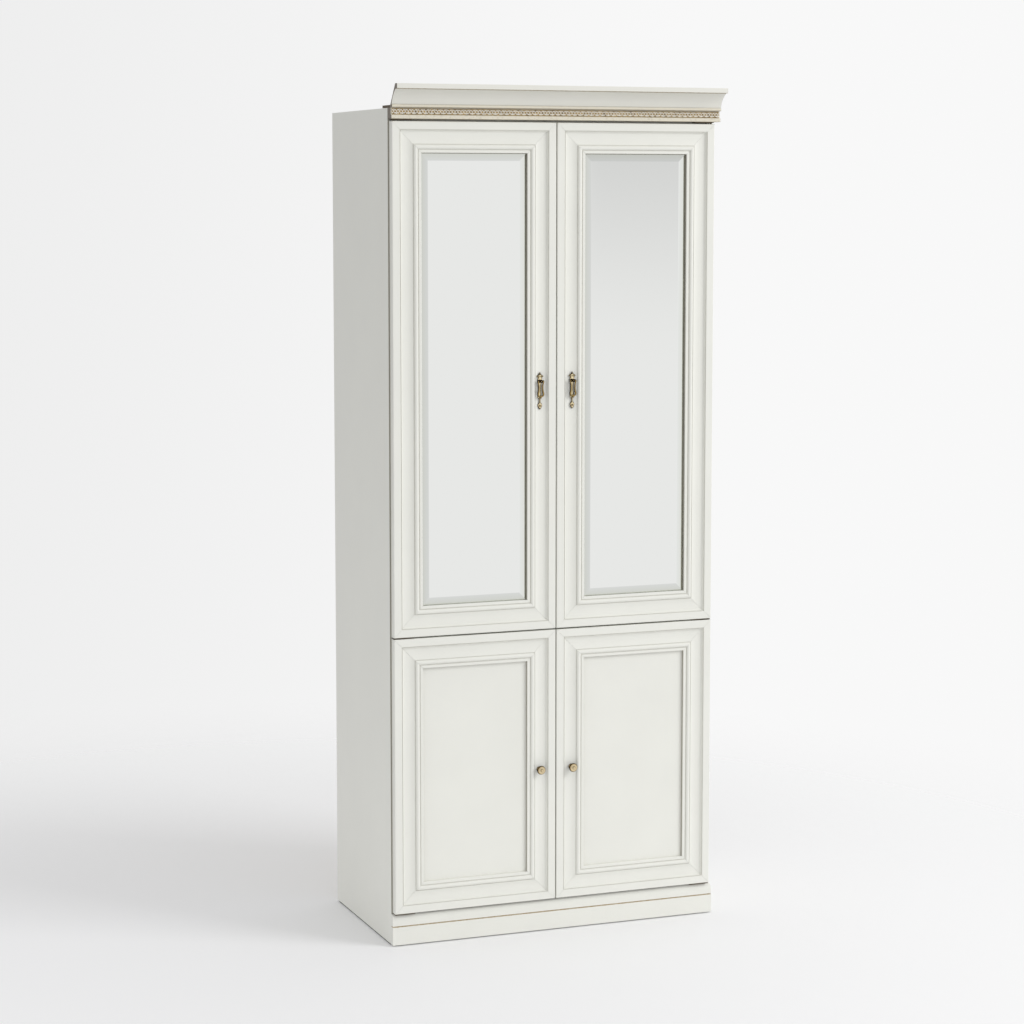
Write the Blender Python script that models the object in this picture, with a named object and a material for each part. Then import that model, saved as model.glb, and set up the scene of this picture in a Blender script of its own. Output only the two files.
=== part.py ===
"""Tall two-section armoire with mirrored upper doors, modelled as its separate pieces.

Frame: origin at the middle of the base on the floor, +Z up, the doors face -Y.
Every length is in metres.
"""

import math

import bmesh
import bpy
from mathutils import Vector

MM = 0.001
GAP = 0.0003  # clearance left between pieces that touch

# ---- driving dimensions of the body ---------------------------------------------------------
BODY_WIDTH = 0.919
BODY_DEPTH = 0.476
BODY_HEIGHT = 2.200
FRONT_LENGTH = 0.9283  # plinth and cornice: flush on the left, oversailing on the right
CROWN_REACH = 0.078  # how far the crown stands in front of the side panels
TOTAL_HEIGHT = 2.260
BOARD = 0.018
BACK_BOARD = 0.004
BACK_INSET = 0.0015
FLOOR_STRIP = 0.003
EDGE_ROUND = 0.0008

LEFT = -FRONT_LENGTH / 2
RIGHT = LEFT + BODY_WIDTH
FRONT = CROWN_REACH - (BODY_DEPTH + CROWN_REACH) / 2  # front edge of the side panels
BACK = FRONT + BODY_DEPTH
MIDDLE = (LEFT + RIGHT) / 2

# ---- levels ---------------------------------------------------------------------------------
PLINTH_TOP = 0.086
BOTTOM_PANEL_Z = 0.080
LOWER_DOOR_Z = (0.0895, 0.8233)
UPPER_DOOR_Z = (0.8273, 2.1665)
SPLIT_Z = (LOWER_DOOR_Z[1] + UPPER_DOOR_Z[0]) / 2
LOWER_SHELF_Z = 0.452
HAT_SHELF_Z = 1.980
RAIL_Z = 1.930
FRIEZE_Z = 2.172
STRIP_Z = (2.1828, 2.1984)

# ---- plinth and cornice: distances are in front of the side panels' front edge --------------
PLINTH_FACE = 0.0139
PLINTH_GROOVE_Z = 0.0533
FRIEZE_LIP = 0.0320
FRIEZE_BED = 0.0260
LIP_HEIGHT = 0.0100
CARVED_STRIP = 0.0028
STRIP_END_INSET = 0.003
CORNICE_BASE_REACH = 0.0180
CORNICE_BASE_DEPTH = 0.058
CORNICE_BASE_THICKNESS = 0.0065
CROWN_BEAD = (0.0335, 0.0042, 0.0040)  # reach, height above the base and radius
COVE_FOOT = (0.0340, 0.0090)  # reach and height above the crown's foot
COVE_HEAD = (0.0665, 0.0138)  # reach and depth below the crown's top
COVE_HOLLOW = 0.0052
CROWN_FILLET = 0.0132
CROWN_TOP_DEPTH = 0.0155

# ---- inside the carcass ---------------------------------------------------------------------
STRIP_SIDE_INSET = 0.002
STRIP_FRONT_INSET = 0.012
SHELF_SET_BACK = 0.012
BACK_PANEL_FOOT = 0.030
RAIL_SET_BACK = 0.235
RAIL_RADIUS = 0.0125
RAIL_WALL = 0.0012
CUP_RADIUS = 0.0155
CUP_FLANGE = 0.020
CUP_DEPTH = 0.012
CUP_FLOOR = 0.003

# ---- doors ----------------------------------------------------------------------------------
DOOR_THICKNESS = 0.022
DOOR_GAP = 0.002  # between the door's back and the carcass
DOOR_INSET = 0.0035  # from the body's outer face to the door's edge
SEAM = 0.003
FRAME_WIDTH = 0.0805
REBATE_WIDTH = 0.0095
REBATE_HEIGHT = 0.0118  # above the door's back plane
GLASS = 0.004
MIRROR_BEVEL = 0.029
BEVEL_DROP = 0.0022
PANEL_BOARD = 0.006
MIRROR_BACK_BOARD = 0.003
DOOR_BACK = FRONT - DOOR_GAP
DOOR_SWING_DEG = 110.0

# ---- pivot hinges ---------------------------------------------------------------------------
PIVOT_INSET = 0.0065  # from the door's edge to the pin's axis
PIVOT_Y = DOOR_BACK - DOOR_THICKNESS / 2
PIN_RADIUS = 0.0025
PIN_LENGTH = 0.0085
PIN_CLEARANCE = 0.0001
LEAF = 0.002
LEAF_LENGTH = 0.055
LEAF_REACH = 0.007  # half the width of the leaves
DOOR_LEAF_LENGTH = 0.030

# ---- handles and knobs ----------------------------------------------------------------------
HANDLE_INSET = 0.0445  # from the door's meeting edge to the handle's axis
BOSS_Z = 1.4890
PLATE = 0.0022
PLATE_SEAT = 0.0164  # height of the plate's back above the door's back plane
KNOB_SEAT = 0.0163
BAIL_STAND_OFF = 0.0075  # from the plate's back to the bail's axis
KNOB_INSET = 0.0447
KNOB_Z = 0.447

# ---- finishes: colour, roughness, metallic --------------------------------------------------
LACQUER = ((0.76, 0.76, 0.71), 0.38, 0.0)
RAW_EDGE = ((0.17, 0.14, 0.11), 0.70, 0.0)
GILT = ((0.66, 0.53, 0.30), 0.38, 0.9)
BRASS = ((0.60, 0.45, 0.18), 0.28, 1.0)
STEEL = ((0.55, 0.55, 0.53), 0.30, 1.0)
MIRROR = ((0.86, 0.87, 0.86), 0.03, 1.0)
HARDBOARD = ((0.70, 0.69, 0.64), 0.55, 0.0)
PLASTIC = ((0.10, 0.10, 0.10), 0.50, 0.0)


# ---- building blocks ------------------------------------------------------------------------
def clear_scene():
    """Remove every object that the file opened with."""
    for item in list(bpy.data.objects):
        bpy.data.objects.remove(item, do_unlink=True)


def make_material(name, finish):
    """Return a Principled material with the finish's colour, roughness and metallic value."""
    colour, roughness, metallic = finish
    material = bpy.data.materials.new(name)
    material.use_nodes = True
    shader = material.node_tree.nodes["Principled BSDF"]
    shader.inputs["Base Color"].default_value = (*colour, 1.0)
    shader.inputs["Roughness"].default_value = roughness
    shader.inputs["Metallic"].default_value = metallic
    return material


def add_axis(name, position):
    """Add an empty that stands on a joint's axis and carries what turns on it."""
    axis = bpy.data.objects.new(name, None)
    axis.empty_display_size = 0.05
    axis.location = position
    bpy.context.collection.objects.link(axis)
    return axis


def add_piece(name, points, faces, finish, origin, parent=None):
    """Make one object from world points, with its origin where the caller says."""
    origin = Vector(origin)
    form = bmesh.new()
    corners = [form.verts.new(Vector(point) - origin) for point in points]
    for face in faces:
        form.faces.new([corners[index] for index in face])
    bmesh.ops.recalc_face_normals(form, faces=form.faces)
    mesh = bpy.data.meshes.new(name)
    form.to_mesh(mesh)
    form.free()
    piece = bpy.data.objects.new(name, mesh)
    bpy.context.collection.objects.link(piece)
    if finish is not None:
        mesh.materials.append(make_material(name + "_finish", finish))
    if parent is not None:
        piece.parent = parent
        origin = origin - parent.location
    piece.location = origin
    return piece


def soften(piece, width=EDGE_ROUND, segments=2):
    """Round the piece's sharp edges with a Bevel modifier."""
    bevel = piece.modifiers.new("edge_round", "BEVEL")
    bevel.width = width
    bevel.segments = segments
    bevel.limit_method = "ANGLE"
    bevel.angle_limit = math.radians(50)
    return piece


def smooth(piece, angle=40.0):
    """Shade a round piece smooth and keep its edges sharp."""
    piece.data.shade_smooth()
    piece.data.set_sharp_from_angle(angle=math.radians(angle))
    return piece


def add_box(name, low, high, finish, parent=None):
    """Add a rectangular board between two opposite corners."""
    xs, ys, zs = zip(low, high)
    points = [(x, y, z) for z in zs for y in ys for x in xs]
    faces = [(0, 1, 3, 2), (4, 5, 7, 6), (0, 1, 5, 4), (2, 3, 7, 6), (0, 2, 6, 4), (1, 3, 7, 5)]
    centre = [(a + b) / 2 for a, b in zip(low, high)]
    return add_piece(name, points, faces, finish, centre, parent)


def ring_faces(rings, size, cap_ends=True):
    """Return the faces that skin rings of equally many points, with a cap at each end."""
    faces = []
    for ring in range(rings - 1):
        base = ring * size
        for index in range(size):
            following = (index + 1) % size
            faces.append((base + index, base + following, base + size + following, base + size + index))
    if cap_ends:
        faces.append(tuple(range(size)))
        faces.append(tuple((rings - 1) * size + index for index in range(size)))
    return faces


def add_moulding(name, outline, ends, finish):
    """Extrude an outline of (y, z) points along X between two ends."""
    points = [(x, y, z) for x in ends for y, z in outline]
    origin = (ends[0], outline[0][0], outline[0][1])
    return add_piece(name, points, ring_faces(2, len(outline)), finish, origin)


def circle_point(centre, radius, angle_deg):
    """Return the point at an angle on a circle in a plane."""
    angle = math.radians(angle_deg)
    return (centre[0] + radius * math.cos(angle), centre[1] + radius * math.sin(angle))


def add_turned(name, profile, centre, axis, finish, parent=None, sides=24):
    """Turn a profile of (radius, distance) points about an axis through a centre."""
    axis = Vector(axis)
    side = axis.orthogonal().normalized()
    other = axis.cross(side)
    points = []
    for radius, distance in profile:
        for step in range(sides):
            angle = 2 * math.pi * step / sides
            spoke = side * math.cos(angle) + other * math.sin(angle)
            points.append(Vector(centre) + axis * distance + spoke * radius)
    faces = ring_faces(len(profile), sides)
    return smooth(add_piece(name, points, faces, finish, centre, parent))


def add_tube(name, outer, inner, ends, y, z, finish, sides=32):
    """Add an open tube along X."""
    circles = [(ends[0], outer), (ends[1], outer), (ends[1], inner), (ends[0], inner)]
    points = []
    for x, radius in circles:
        for step in range(sides):
            dy, dz = circle_point((y, z), radius, 360 * step / sides)
            points.append((x, dy, dz))
    faces = ring_faces(len(circles), sides, cap_ends=False)
    last = (len(circles) - 1) * sides
    for index in range(sides):
        following = (index + 1) % sides
        faces.append((last + index, last + following, following, index))
    return smooth(add_piece(name, points, faces, finish, (ends[0], y, z)))


def cut(piece, cutter):
    """Subtract a cutter from a piece with an exact Boolean."""
    boolean = piece.modifiers.new(cutter.name, "BOOLEAN")
    boolean.operation = "DIFFERENCE"
    boolean.solver = "EXACT"
    boolean.object = cutter


def join_shape(piece, addition):
    """Unite an addition with a piece, so that both are one body."""
    boolean = piece.modifiers.new(addition.name, "BOOLEAN")
    boolean.operation = "UNION"
    boolean.solver = "EXACT"
    boolean.object = addition
    hide_tool(addition)


def hide_tool(tool):
    """Show a cutter as wires and leave it out of renders."""
    tool.hide_render = True
    tool.display_type = "WIRE"
    return tool


# ---- carcass --------------------------------------------------------------------------------
def build_carcass():
    """Sides, horizontal boards, back, shelves and the strips that the sides stand on."""
    inner = (LEFT + BOARD + GAP, RIGHT - BOARD - GAP)
    back_front = BACK - BACK_INSET - BACK_BOARD
    board_back = back_front - GAP
    for side, outer, inside in (("left", LEFT, LEFT + BOARD), ("right", RIGHT, RIGHT - BOARD)):
        low, high = sorted((outer, inside))
        bottom = FLOOR_STRIP + GAP
        panel = add_box(f"side_panel_{side}", (low, FRONT, bottom), (high, BACK, BODY_HEIGHT), LACQUER)
        soften(panel)
        strip_low = (low + STRIP_SIDE_INSET, FRONT + STRIP_FRONT_INSET, 0.0)
        strip_high = (high - STRIP_SIDE_INSET, BACK - STRIP_FRONT_INSET, FLOOR_STRIP)
        add_box(f"floor_strip_{side}", strip_low, strip_high, PLASTIC)

    boards = (
        ("top_panel", BODY_HEIGHT - BOARD, 0.0),
        ("middle_panel", SPLIT_Z - BOARD / 2, 0.0),
        ("bottom_panel", BOTTOM_PANEL_Z, 0.0),
        ("hat_shelf", HAT_SHELF_Z, SHELF_SET_BACK),
        ("lower_shelf", LOWER_SHELF_Z, SHELF_SET_BACK),
    )
    pieces = {}
    for name, level, set_back in boards:
        low = (inner[0], FRONT + set_back, level)
        high = (inner[1], board_back, level + BOARD)
        pieces[name] = soften(add_box(name, low, high, LACQUER))
    back_low = (inner[0], back_front, BACK_PANEL_FOOT)
    back_high = (inner[1], back_front + BACK_BOARD, BODY_HEIGHT)
    add_box("back_panel", back_low, back_high, HARDBOARD)
    return pieces


def build_plinth():
    """Front board of the base: grooved, eased back above the groove and round its right end."""
    eased = [
        (0.0008, FLOOR_STRIP),
        (0.0, FLOOR_STRIP + 0.0008),
        (0.0, PLINTH_GROOVE_Z - 0.0016),
        (0.0020, PLINTH_GROOVE_Z),
        (0.0006, PLINTH_GROOVE_Z + 0.0016),
        (0.0006, 0.0680),
        (0.0016, 0.0760),
        (0.0034, 0.0815),
        (0.0060, 0.0850),
        (0.0070, PLINTH_TOP),
    ]
    rows = [(FRONT - PLINTH_FACE + ease, z, ease) for ease, z in eased]
    outline = [(FRONT - GAP, eased[0][1], eased[0][0]), *rows, (FRONT - GAP, PLINTH_TOP, eased[-1][0])]
    left_end = [(LEFT, y, z) for y, z, _ in outline]
    right_end = [(LEFT + FRONT_LENGTH - ease, y, z) for y, z, ease in outline]
    faces = ring_faces(2, len(outline))
    add_piece("plinth_board", left_end + right_end, faces, LACQUER, left_end[0])


def build_hanging_rail():
    """Round rail under the hat shelf, held in a cup on each side panel."""
    rail_y = FRONT + RAIL_SET_BACK
    bore_radius = RAIL_RADIUS + 2 * GAP
    cup = [
        (CUP_FLANGE, 0.0),
        (CUP_FLANGE, CUP_FLOOR),
        (CUP_RADIUS, CUP_FLOOR + 0.0015),
        (CUP_RADIUS, CUP_DEPTH),
        (bore_radius, CUP_DEPTH),
        (bore_radius, CUP_FLOOR),
    ]
    for side, face, way in (("left", LEFT + BOARD, 1), ("right", RIGHT - BOARD, -1)):
        centre = (face + way * GAP, rail_y, RAIL_Z)
        add_turned(f"rail_socket_{side}", cup, centre, (way, 0, 0), STEEL)
    reach = BOARD + CUP_FLOOR + 2 * GAP
    ends = (LEFT + reach, RIGHT - reach)
    add_tube("hanging_rail", RAIL_RADIUS, RAIL_RADIUS - RAIL_WALL, ends, rail_y, RAIL_Z, STEEL)


# ---- cornice --------------------------------------------------------------------------------
def build_frieze(ends):
    """Board above the doors, with a lip below and the bed that holds the carved strip."""
    lip = FRONT - FRIEZE_LIP
    bed = FRONT - FRIEZE_BED
    lip_top = FRIEZE_Z + LIP_HEIGHT
    outline = [
        (FRONT - GAP, FRIEZE_Z),
        (lip + 0.0012, FRIEZE_Z),
        (lip, FRIEZE_Z + 0.0012),
        (lip, lip_top - 0.0018),
        (lip + 0.0006, lip_top - 0.0005),
        (lip + 0.0020, lip_top),
        (bed, lip_top),
        (bed, BODY_HEIGHT),
        (FRONT - GAP, BODY_HEIGHT),
    ]
    add_moulding("frieze_board", outline, ends, LACQUER)
    strip_low = (ends[0] + STRIP_END_INSET, bed - GAP - CARVED_STRIP, STRIP_Z[0])
    strip_high = (ends[1] - STRIP_END_INSET, bed - GAP, STRIP_Z[1])
    add_box("carved_strip", strip_low, strip_high, GILT)


def cove_points(foot):
    """Points of the crown's hollow, from its foot up to the fillet."""
    low = Vector((FRONT - COVE_FOOT[0], foot + COVE_FOOT[1]))
    high = Vector((FRONT - COVE_HEAD[0], TOTAL_HEIGHT - COVE_HEAD[1]))
    along = (high - low).normalized()
    inward = Vector((along[1], -along[0]))
    steps = 10
    points = []
    for step in range(steps + 1):
        share = step / steps
        sag = COVE_HOLLOW * 4 * share * (1 - share)
        points.append(tuple(low.lerp(high, share) + inward * sag))
    return points


def build_cornice():
    """Frieze, the board on top of the carcass and the crown moulding that stands on it."""
    ends = (LEFT, LEFT + FRONT_LENGTH)
    build_frieze(ends)
    foot = BODY_HEIGHT + GAP
    base_front = FRONT - CORNICE_BASE_REACH
    base_high = (ends[1], base_front + CORNICE_BASE_DEPTH, foot + CORNICE_BASE_THICKNESS)
    add_box("cornice_base", (ends[0], base_front, foot), base_high, RAW_EDGE)

    nose = FRONT - CROWN_REACH
    reach, height, radius = CROWN_BEAD
    bead = [circle_point((FRONT - reach, foot + height), radius, 270 - 30 * step) for step in range(7)]
    fillet = TOTAL_HEIGHT - CROWN_FILLET
    outline = [
        (base_front - GAP, foot),
        *bead,
        *cove_points(foot),
        (FRONT - COVE_HEAD[0] - 0.0015, fillet),
        (nose + 0.0010, fillet),
        (nose, fillet + 0.0010),
        (nose, TOTAL_HEIGHT - 0.0010),
        (nose + 0.0010, TOTAL_HEIGHT),
        (nose + CROWN_TOP_DEPTH, TOTAL_HEIGHT),
    ]
    smooth(add_moulding("cornice_crown", outline, ends, LACQUER), 35.0)


# ---- doors ----------------------------------------------------------------------------------
def frame_profile():
    """Section of a stile or rail: (distance from the door's edge, height above its back)."""
    wall_top = (22.9, 21.2)
    hollow_end = (30.4, 15.0)
    lowest = (41.0, 14.2)
    rise_end = (57.6, 18.0)
    steps = 6
    hollow = []
    for step in range(steps + 1):
        turn = math.pi / 2 * step / steps
        across = wall_top[0] + (hollow_end[0] - wall_top[0]) * (1 - math.cos(turn))
        hollow.append((across, wall_top[1] - (wall_top[1] - hollow_end[1]) * math.sin(turn)))
    rise = []
    for step in range(steps + 1):
        share = step / steps
        across = lowest[0] + (rise_end[0] - lowest[0]) * share
        rise.append((across, lowest[1] + (rise_end[1] - lowest[1]) * share**2))
    roll_centre = (65.2, 16.4)
    roll = [circle_point(roll_centre, 6.3, 150 - 15 * step) for step in range(10)]
    inner = FRAME_WIDTH / MM
    rebate = (inner - REBATE_WIDTH / MM, REBATE_HEIGHT / MM)
    profile = [
        (0.0, 0.4),
        (0.0, 20.2),
        (0.6, 21.4),
        (1.8, 22.0),
        (20.0, 22.0),
        (20.8, 21.4),
        (21.2, 20.0),
        (22.2, 20.0),
        *hollow,
        (35.0, 14.4),
        *rise,
        (58.0, 17.2),
        (59.0, 17.2),
        *roll,
        (72.6, 18.6),
        (73.2, 19.6),
        (79.3, 19.8),
        (80.1, 19.4),
        (inner, 18.6),
        (inner, rebate[1]),
        rebate,
        (rebate[0], 0.0),
        (0.4, 0.0),
    ]
    return [(distance * MM, height * MM) for distance, height in profile]


def add_member(name, profile, side, opening, parent):
    """Add a frame member with mitred ends on one side of the door's rectangle."""
    (x_low, z_low), (x_high, z_high) = opening
    mitre = GAP * 0.75
    run = z_high - z_low if side in ("left", "right") else x_high - x_low
    points = []
    for end in (0, 1):
        for distance, height in profile:
            along = distance + mitre if end == 0 else run - distance - mitre
            y = DOOR_BACK - height
            if side == "left":
                points.append((x_low + distance, y, z_low + along))
            elif side == "right":
                points.append((x_high - distance, y, z_low + along))
            elif side == "bottom":
                points.append((x_low + along, y, z_low + distance))
            else:
                points.append((x_low + along, y, z_high - distance))
    return smooth(add_piece(name, points, ring_faces(2, len(profile)), LACQUER, points[0], parent), 32.0)


def add_mirror(name, low, high, front_y, parent):
    """Add a plate of mirror glass with a wide bevel round its front."""
    back_y = front_y + GLASS
    edge_y = front_y + BEVEL_DROP
    rings = ((0.0, back_y), (0.0, edge_y), (MIRROR_BEVEL, front_y))
    points = []
    for inset, y in rings:
        x_ends = (low[0] + inset, high[0] - inset)
        z_ends = (low[1] + inset, high[1] - inset)
        points += [(x_ends[0], y, z_ends[0]), (x_ends[1], y, z_ends[0])]
        points += [(x_ends[1], y, z_ends[1]), (x_ends[0], y, z_ends[1])]
    centre = ((low[0] + high[0]) / 2, back_y, (low[1] + high[1]) / 2)
    return add_piece(name, points, ring_faces(len(rings), 4), MIRROR, centre, parent)


def add_infill(door, opening, mirrored, parent):
    """Fill the frame's rebate with a mirror and its back board, or with a flat panel."""
    (x_low, z_low), (x_high, z_high) = opening
    edge = FRAME_WIDTH - REBATE_WIDTH + 2 * GAP
    low = (x_low + edge, z_low + edge)
    high = (x_high - edge, z_high - edge)
    front_y = DOOR_BACK - REBATE_HEIGHT + GAP
    if mirrored:
        add_mirror(f"{door}_mirror", low, high, front_y, parent)
        board_y = front_y + GLASS + GAP
        near, far = board_y, board_y + MIRROR_BACK_BOARD
        add_box(f"{door}_mirror_back", (low[0], near, low[1]), (high[0], far, high[1]), HARDBOARD, parent)
    else:
        far = front_y + PANEL_BOARD
        add_box(f"{door}_panel", (low[0], front_y, low[1]), (high[0], far, high[1]), LACQUER, parent)


def add_door_leaf(door, end, pivot_x, inward, level, way, parent):
    """Let a hinge leaf with its pin hole into the door's end; return its two cutters."""
    outer = pivot_x - inward * (PIVOT_INSET - 0.0015)
    x_low, x_high = sorted((outer, outer + inward * DOOR_LEAF_LENGTH))
    near, far = PIVOT_Y - LEAF_REACH, PIVOT_Y + LEAF_REACH
    z_low, z_high = sorted((level + way * GAP, level + way * (GAP + LEAF)))
    leaf = add_box(f"{door}_{end}_leaf", (x_low, near, z_low), (x_high, far, z_high), STEEL, parent)
    hole_radius = PIN_RADIUS / math.cos(math.pi / 24) + PIN_CLEARANCE
    span = ((hole_radius, -0.005), (hole_radius, 0.005))
    middle = (pivot_x, PIVOT_Y, (z_low + z_high) / 2)
    cut(leaf, hide_tool(add_turned(f"{door}_{end}_eye_cutter", span, middle, (0, 0, 1), None, parent)))

    pocket_low = (x_low - GAP, near - GAP, min(level - way * 0.002, z_low + (way < 0) * -GAP))
    pocket_high = (x_high + GAP, far + GAP, max(level - way * 0.002, z_high + (way > 0) * GAP))
    pocket = add_box(f"{door}_{end}_pocket_cutter", pocket_low, pocket_high, None, parent)
    bore_radius = PIN_RADIUS + 0.0008
    bore_span = ((bore_radius, -0.001), (bore_radius, PIN_LENGTH + 0.001))
    start = (pivot_x, PIVOT_Y, level)
    bore = add_turned(f"{door}_{end}_bore_cutter", bore_span, start, (0, 0, way), None, parent)
    return hide_tool(pocket), hide_tool(bore)


def build_door(door, x_span, z_span, hinge_side, mirrored):
    """Build one door round its pivot: four mitred members, the infill and two hinge leaves."""
    opening = ((x_span[0], z_span[0]), (x_span[1], z_span[1]))
    inward = 1 if hinge_side == "left" else -1
    pivot_x = x_span[0] + PIVOT_INSET if hinge_side == "left" else x_span[1] - PIVOT_INSET
    axis = add_axis(f"{door}_axis", (pivot_x, PIVOT_Y, z_span[0]))
    profile = frame_profile()
    meeting_side = "right" if hinge_side == "left" else "left"
    hinge_stile = add_member(f"{door}_hinge_stile", profile, hinge_side, opening, axis)
    add_member(f"{door}_meeting_stile", profile, meeting_side, opening, axis)
    rails = {end: add_member(f"{door}_{end}_rail", profile, end, opening, axis) for end in ("bottom", "top")}
    add_infill(door, opening, mirrored, axis)
    for end, level, way in (("bottom", z_span[0], 1), ("top", z_span[1], -1)):
        pocket, bore = add_door_leaf(door, end, pivot_x, inward, level, way, axis)
        for member in (hinge_stile, rails[end]):
            cut(member, pocket)
            cut(member, bore)
    return axis


# ---- carcass leaves of the pivot hinges -----------------------------------------------------
def add_carcass_leaf(name, pivot_x, inward, z_low, pins, tongue):
    """Add the fixed leaf of a pivot hinge, with a pin standing on one or both of its faces."""
    outer = pivot_x - inward * 0.0055
    end = outer + inward * LEAF_LENGTH
    shoulder = pivot_x + inward * 0.0140
    near = PIVOT_Y - LEAF_REACH
    far = FRONT - 2 * GAP
    outline = [(outer, near), (end, near), (end, far), (outer, far)]
    if tongue:
        deep = FRONT + 0.024
        outline = [(outer, near), (end, near), (end, deep), (shoulder, deep), (shoulder, far), (outer, far)]
    points = [(x, y, z) for z in (z_low, z_low + LEAF) for x, y in outline]
    axis_point = (pivot_x, PIVOT_Y, z_low)
    leaf = add_piece(name, points, ring_faces(2, len(outline)), STEEL, axis_point)
    low = z_low - PIN_LENGTH if "down" in pins else z_low + LEAF / 2
    high = z_low + LEAF + PIN_LENGTH if "up" in pins else z_low + LEAF / 2
    tip = 0.0004
    profile = [
        (PIN_RADIUS - tip, low - z_low),
        (PIN_RADIUS, low - z_low + tip),
        (PIN_RADIUS, high - z_low - tip),
        (PIN_RADIUS - tip, high - z_low),
    ]
    join_shape(leaf, add_turned(f"{name}_pin", profile, axis_point, (0, 0, 1), None))
    return leaf


def build_carcass_leaves(middle_panel):
    """Fixed leaves at the plinth, at the split between the doors and under the frieze."""
    sides = (("left", LEFT + DOOR_INSET + PIVOT_INSET, 1), ("right", RIGHT - DOOR_INSET - PIVOT_INSET, -1))
    for side, pivot_x, inward in sides:
        add_carcass_leaf(f"bottom_hinge_leaf_{side}", pivot_x, inward, PLINTH_TOP + GAP, ("up",), False)
        middle_z = SPLIT_Z - LEAF / 2
        add_carcass_leaf(f"middle_hinge_leaf_{side}", pivot_x, inward, middle_z, ("up", "down"), True)
        top_z = FRIEZE_Z - GAP - LEAF
        add_carcass_leaf(f"top_hinge_leaf_{side}", pivot_x, inward, top_z, ("down",), False)
        start, end = sorted((pivot_x + inward * 0.0080, pivot_x + inward * (LEAF_LENGTH - 0.0050)))
        slot_low = (start, FRONT - 0.004, middle_z - GAP)
        slot_high = (end, FRONT + 0.0245, middle_z + LEAF + GAP)
        slot = hide_tool(add_box(f"middle_slot_cutter_{side}", slot_low, slot_high, None))
        cut(middle_panel, slot)


# ---- handles and knobs ----------------------------------------------------------------------
def plate_outline(centre_x):
    """Outline of the handle's back plate: a trefoil head, a slim stem and a tulip foot."""
    half = [
        (0.0, 23.8),
        (1.6, 21.2),
        (3.2, 18.0),
        (5.6, 16.4),
        (8.6, 15.0),
        (9.2, 12.4),
        (7.2, 10.2),
        (4.6, 9.2),
        (6.2, 5.2),
        (6.6, 0.0),
        (5.4, -5.0),
        (3.6, -12.0),
        (3.0, -30.0),
        (5.2, -38.0),
        (6.8, -42.4),
        (3.2, -46.4),
        (1.7, -52.4),
        (2.8, -57.6),
        (5.6, -62.0),
        (5.0, -67.6),
        (2.6, -72.2),
        (0.0, -75.2),
    ]
    right = [(centre_x + x * MM, BOSS_Z + z * MM) for x, z in half]
    left = [(centre_x - x * MM, BOSS_Z + z * MM) for x, z in reversed(half[1:-1])]
    return right + left


def bail_path():
    """Centre line of half the bail as (x, z, radius), from its pin to the middle of its foot."""
    return [
        (2.9, 0.0, 1.2),
        (4.6, 0.0, 1.2),
        (4.8, 0.0, 2.5),
        (5.9, 0.0, 3.2),
        (7.1, -0.7, 3.1),
        (7.5, -3.0, 2.2),
        (6.6, -7.0, 1.5),
        (5.7, -14.0, 1.5),
        (5.7, -22.0, 1.8),
        (6.4, -29.0, 2.2),
        (7.4, -33.4, 2.6),
        (6.9, -37.0, 2.4),
        (4.6, -39.2, 2.0),
        (1.8, -40.6, 2.4),
    ]


def add_bail(name, centre, parent):
    """Sweep a round section of changing radius along the bail, from pin to pin."""
    half = bail_path()
    line = [(-x, z, radius) for x, z, radius in half] + [(x, z, radius) for x, z, radius in reversed(half)]
    sides = 10
    points = []
    for index, (x, z, radius) in enumerate(line):
        before = line[max(index - 1, 0)]
        after = line[min(index + 1, len(line) - 1)]
        along = Vector((after[0] - before[0], 0.0, after[1] - before[1])).normalized()
        across = Vector((0.0, 1.0, 0.0)).cross(along)
        for step in range(sides):
            angle = 2 * math.pi * step / sides
            spoke = across * math.cos(angle) + Vector((0.0, math.sin(angle), 0.0))
            points.append(Vector(centre) + (Vector((x, 0.0, z)) + spoke * radius) * MM)
    return smooth(add_piece(name, points, ring_faces(len(line), sides), BRASS, centre, parent), 50.0)


def build_handle(door, centre_x, door_axis):
    """Plate with its ball boss, fixed to the door, and the bail that swings in the boss."""
    seat = DOOR_BACK - PLATE_SEAT
    outline = plate_outline(centre_x)
    points = [(x, y, z) for y in (seat, seat - PLATE) for x, z in outline]
    faces = ring_faces(2, len(outline))
    plate = add_piece(f"{door}_handle_plate", points, faces, BRASS, (centre_x, seat, BOSS_Z), door_axis)
    boss = [
        (3.6, 1.0),
        (3.1, 3.0),
        (3.4, 5.2),
        (3.8, 7.5),
        (3.3, 9.8),
        (2.2, 11.2),
        (0.6, 11.8),
    ]
    profile = [(radius * MM, height * MM) for radius, height in boss]
    root = (centre_x, seat, BOSS_Z)
    join_shape(plate, add_turned(f"{door}_boss_shape", profile, root, (0, -1, 0), None, door_axis))
    pin = (centre_x, seat - BAIL_STAND_OFF, BOSS_Z)
    hole = ((0.0016, -0.010), (0.0016, 0.010))
    cut(plate, hide_tool(add_turned(f"{door}_bail_hole_cutter", hole, pin, (1, 0, 0), None, door_axis)))
    bail_axis = add_axis(f"{door}_bail_axis", Vector(pin) - door_axis.location)
    bail_axis.parent = door_axis
    piece = add_bail(f"{door}_handle_bail", pin, None)
    piece.parent = bail_axis
    piece.location = (0.0, 0.0, 0.0)


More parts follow.
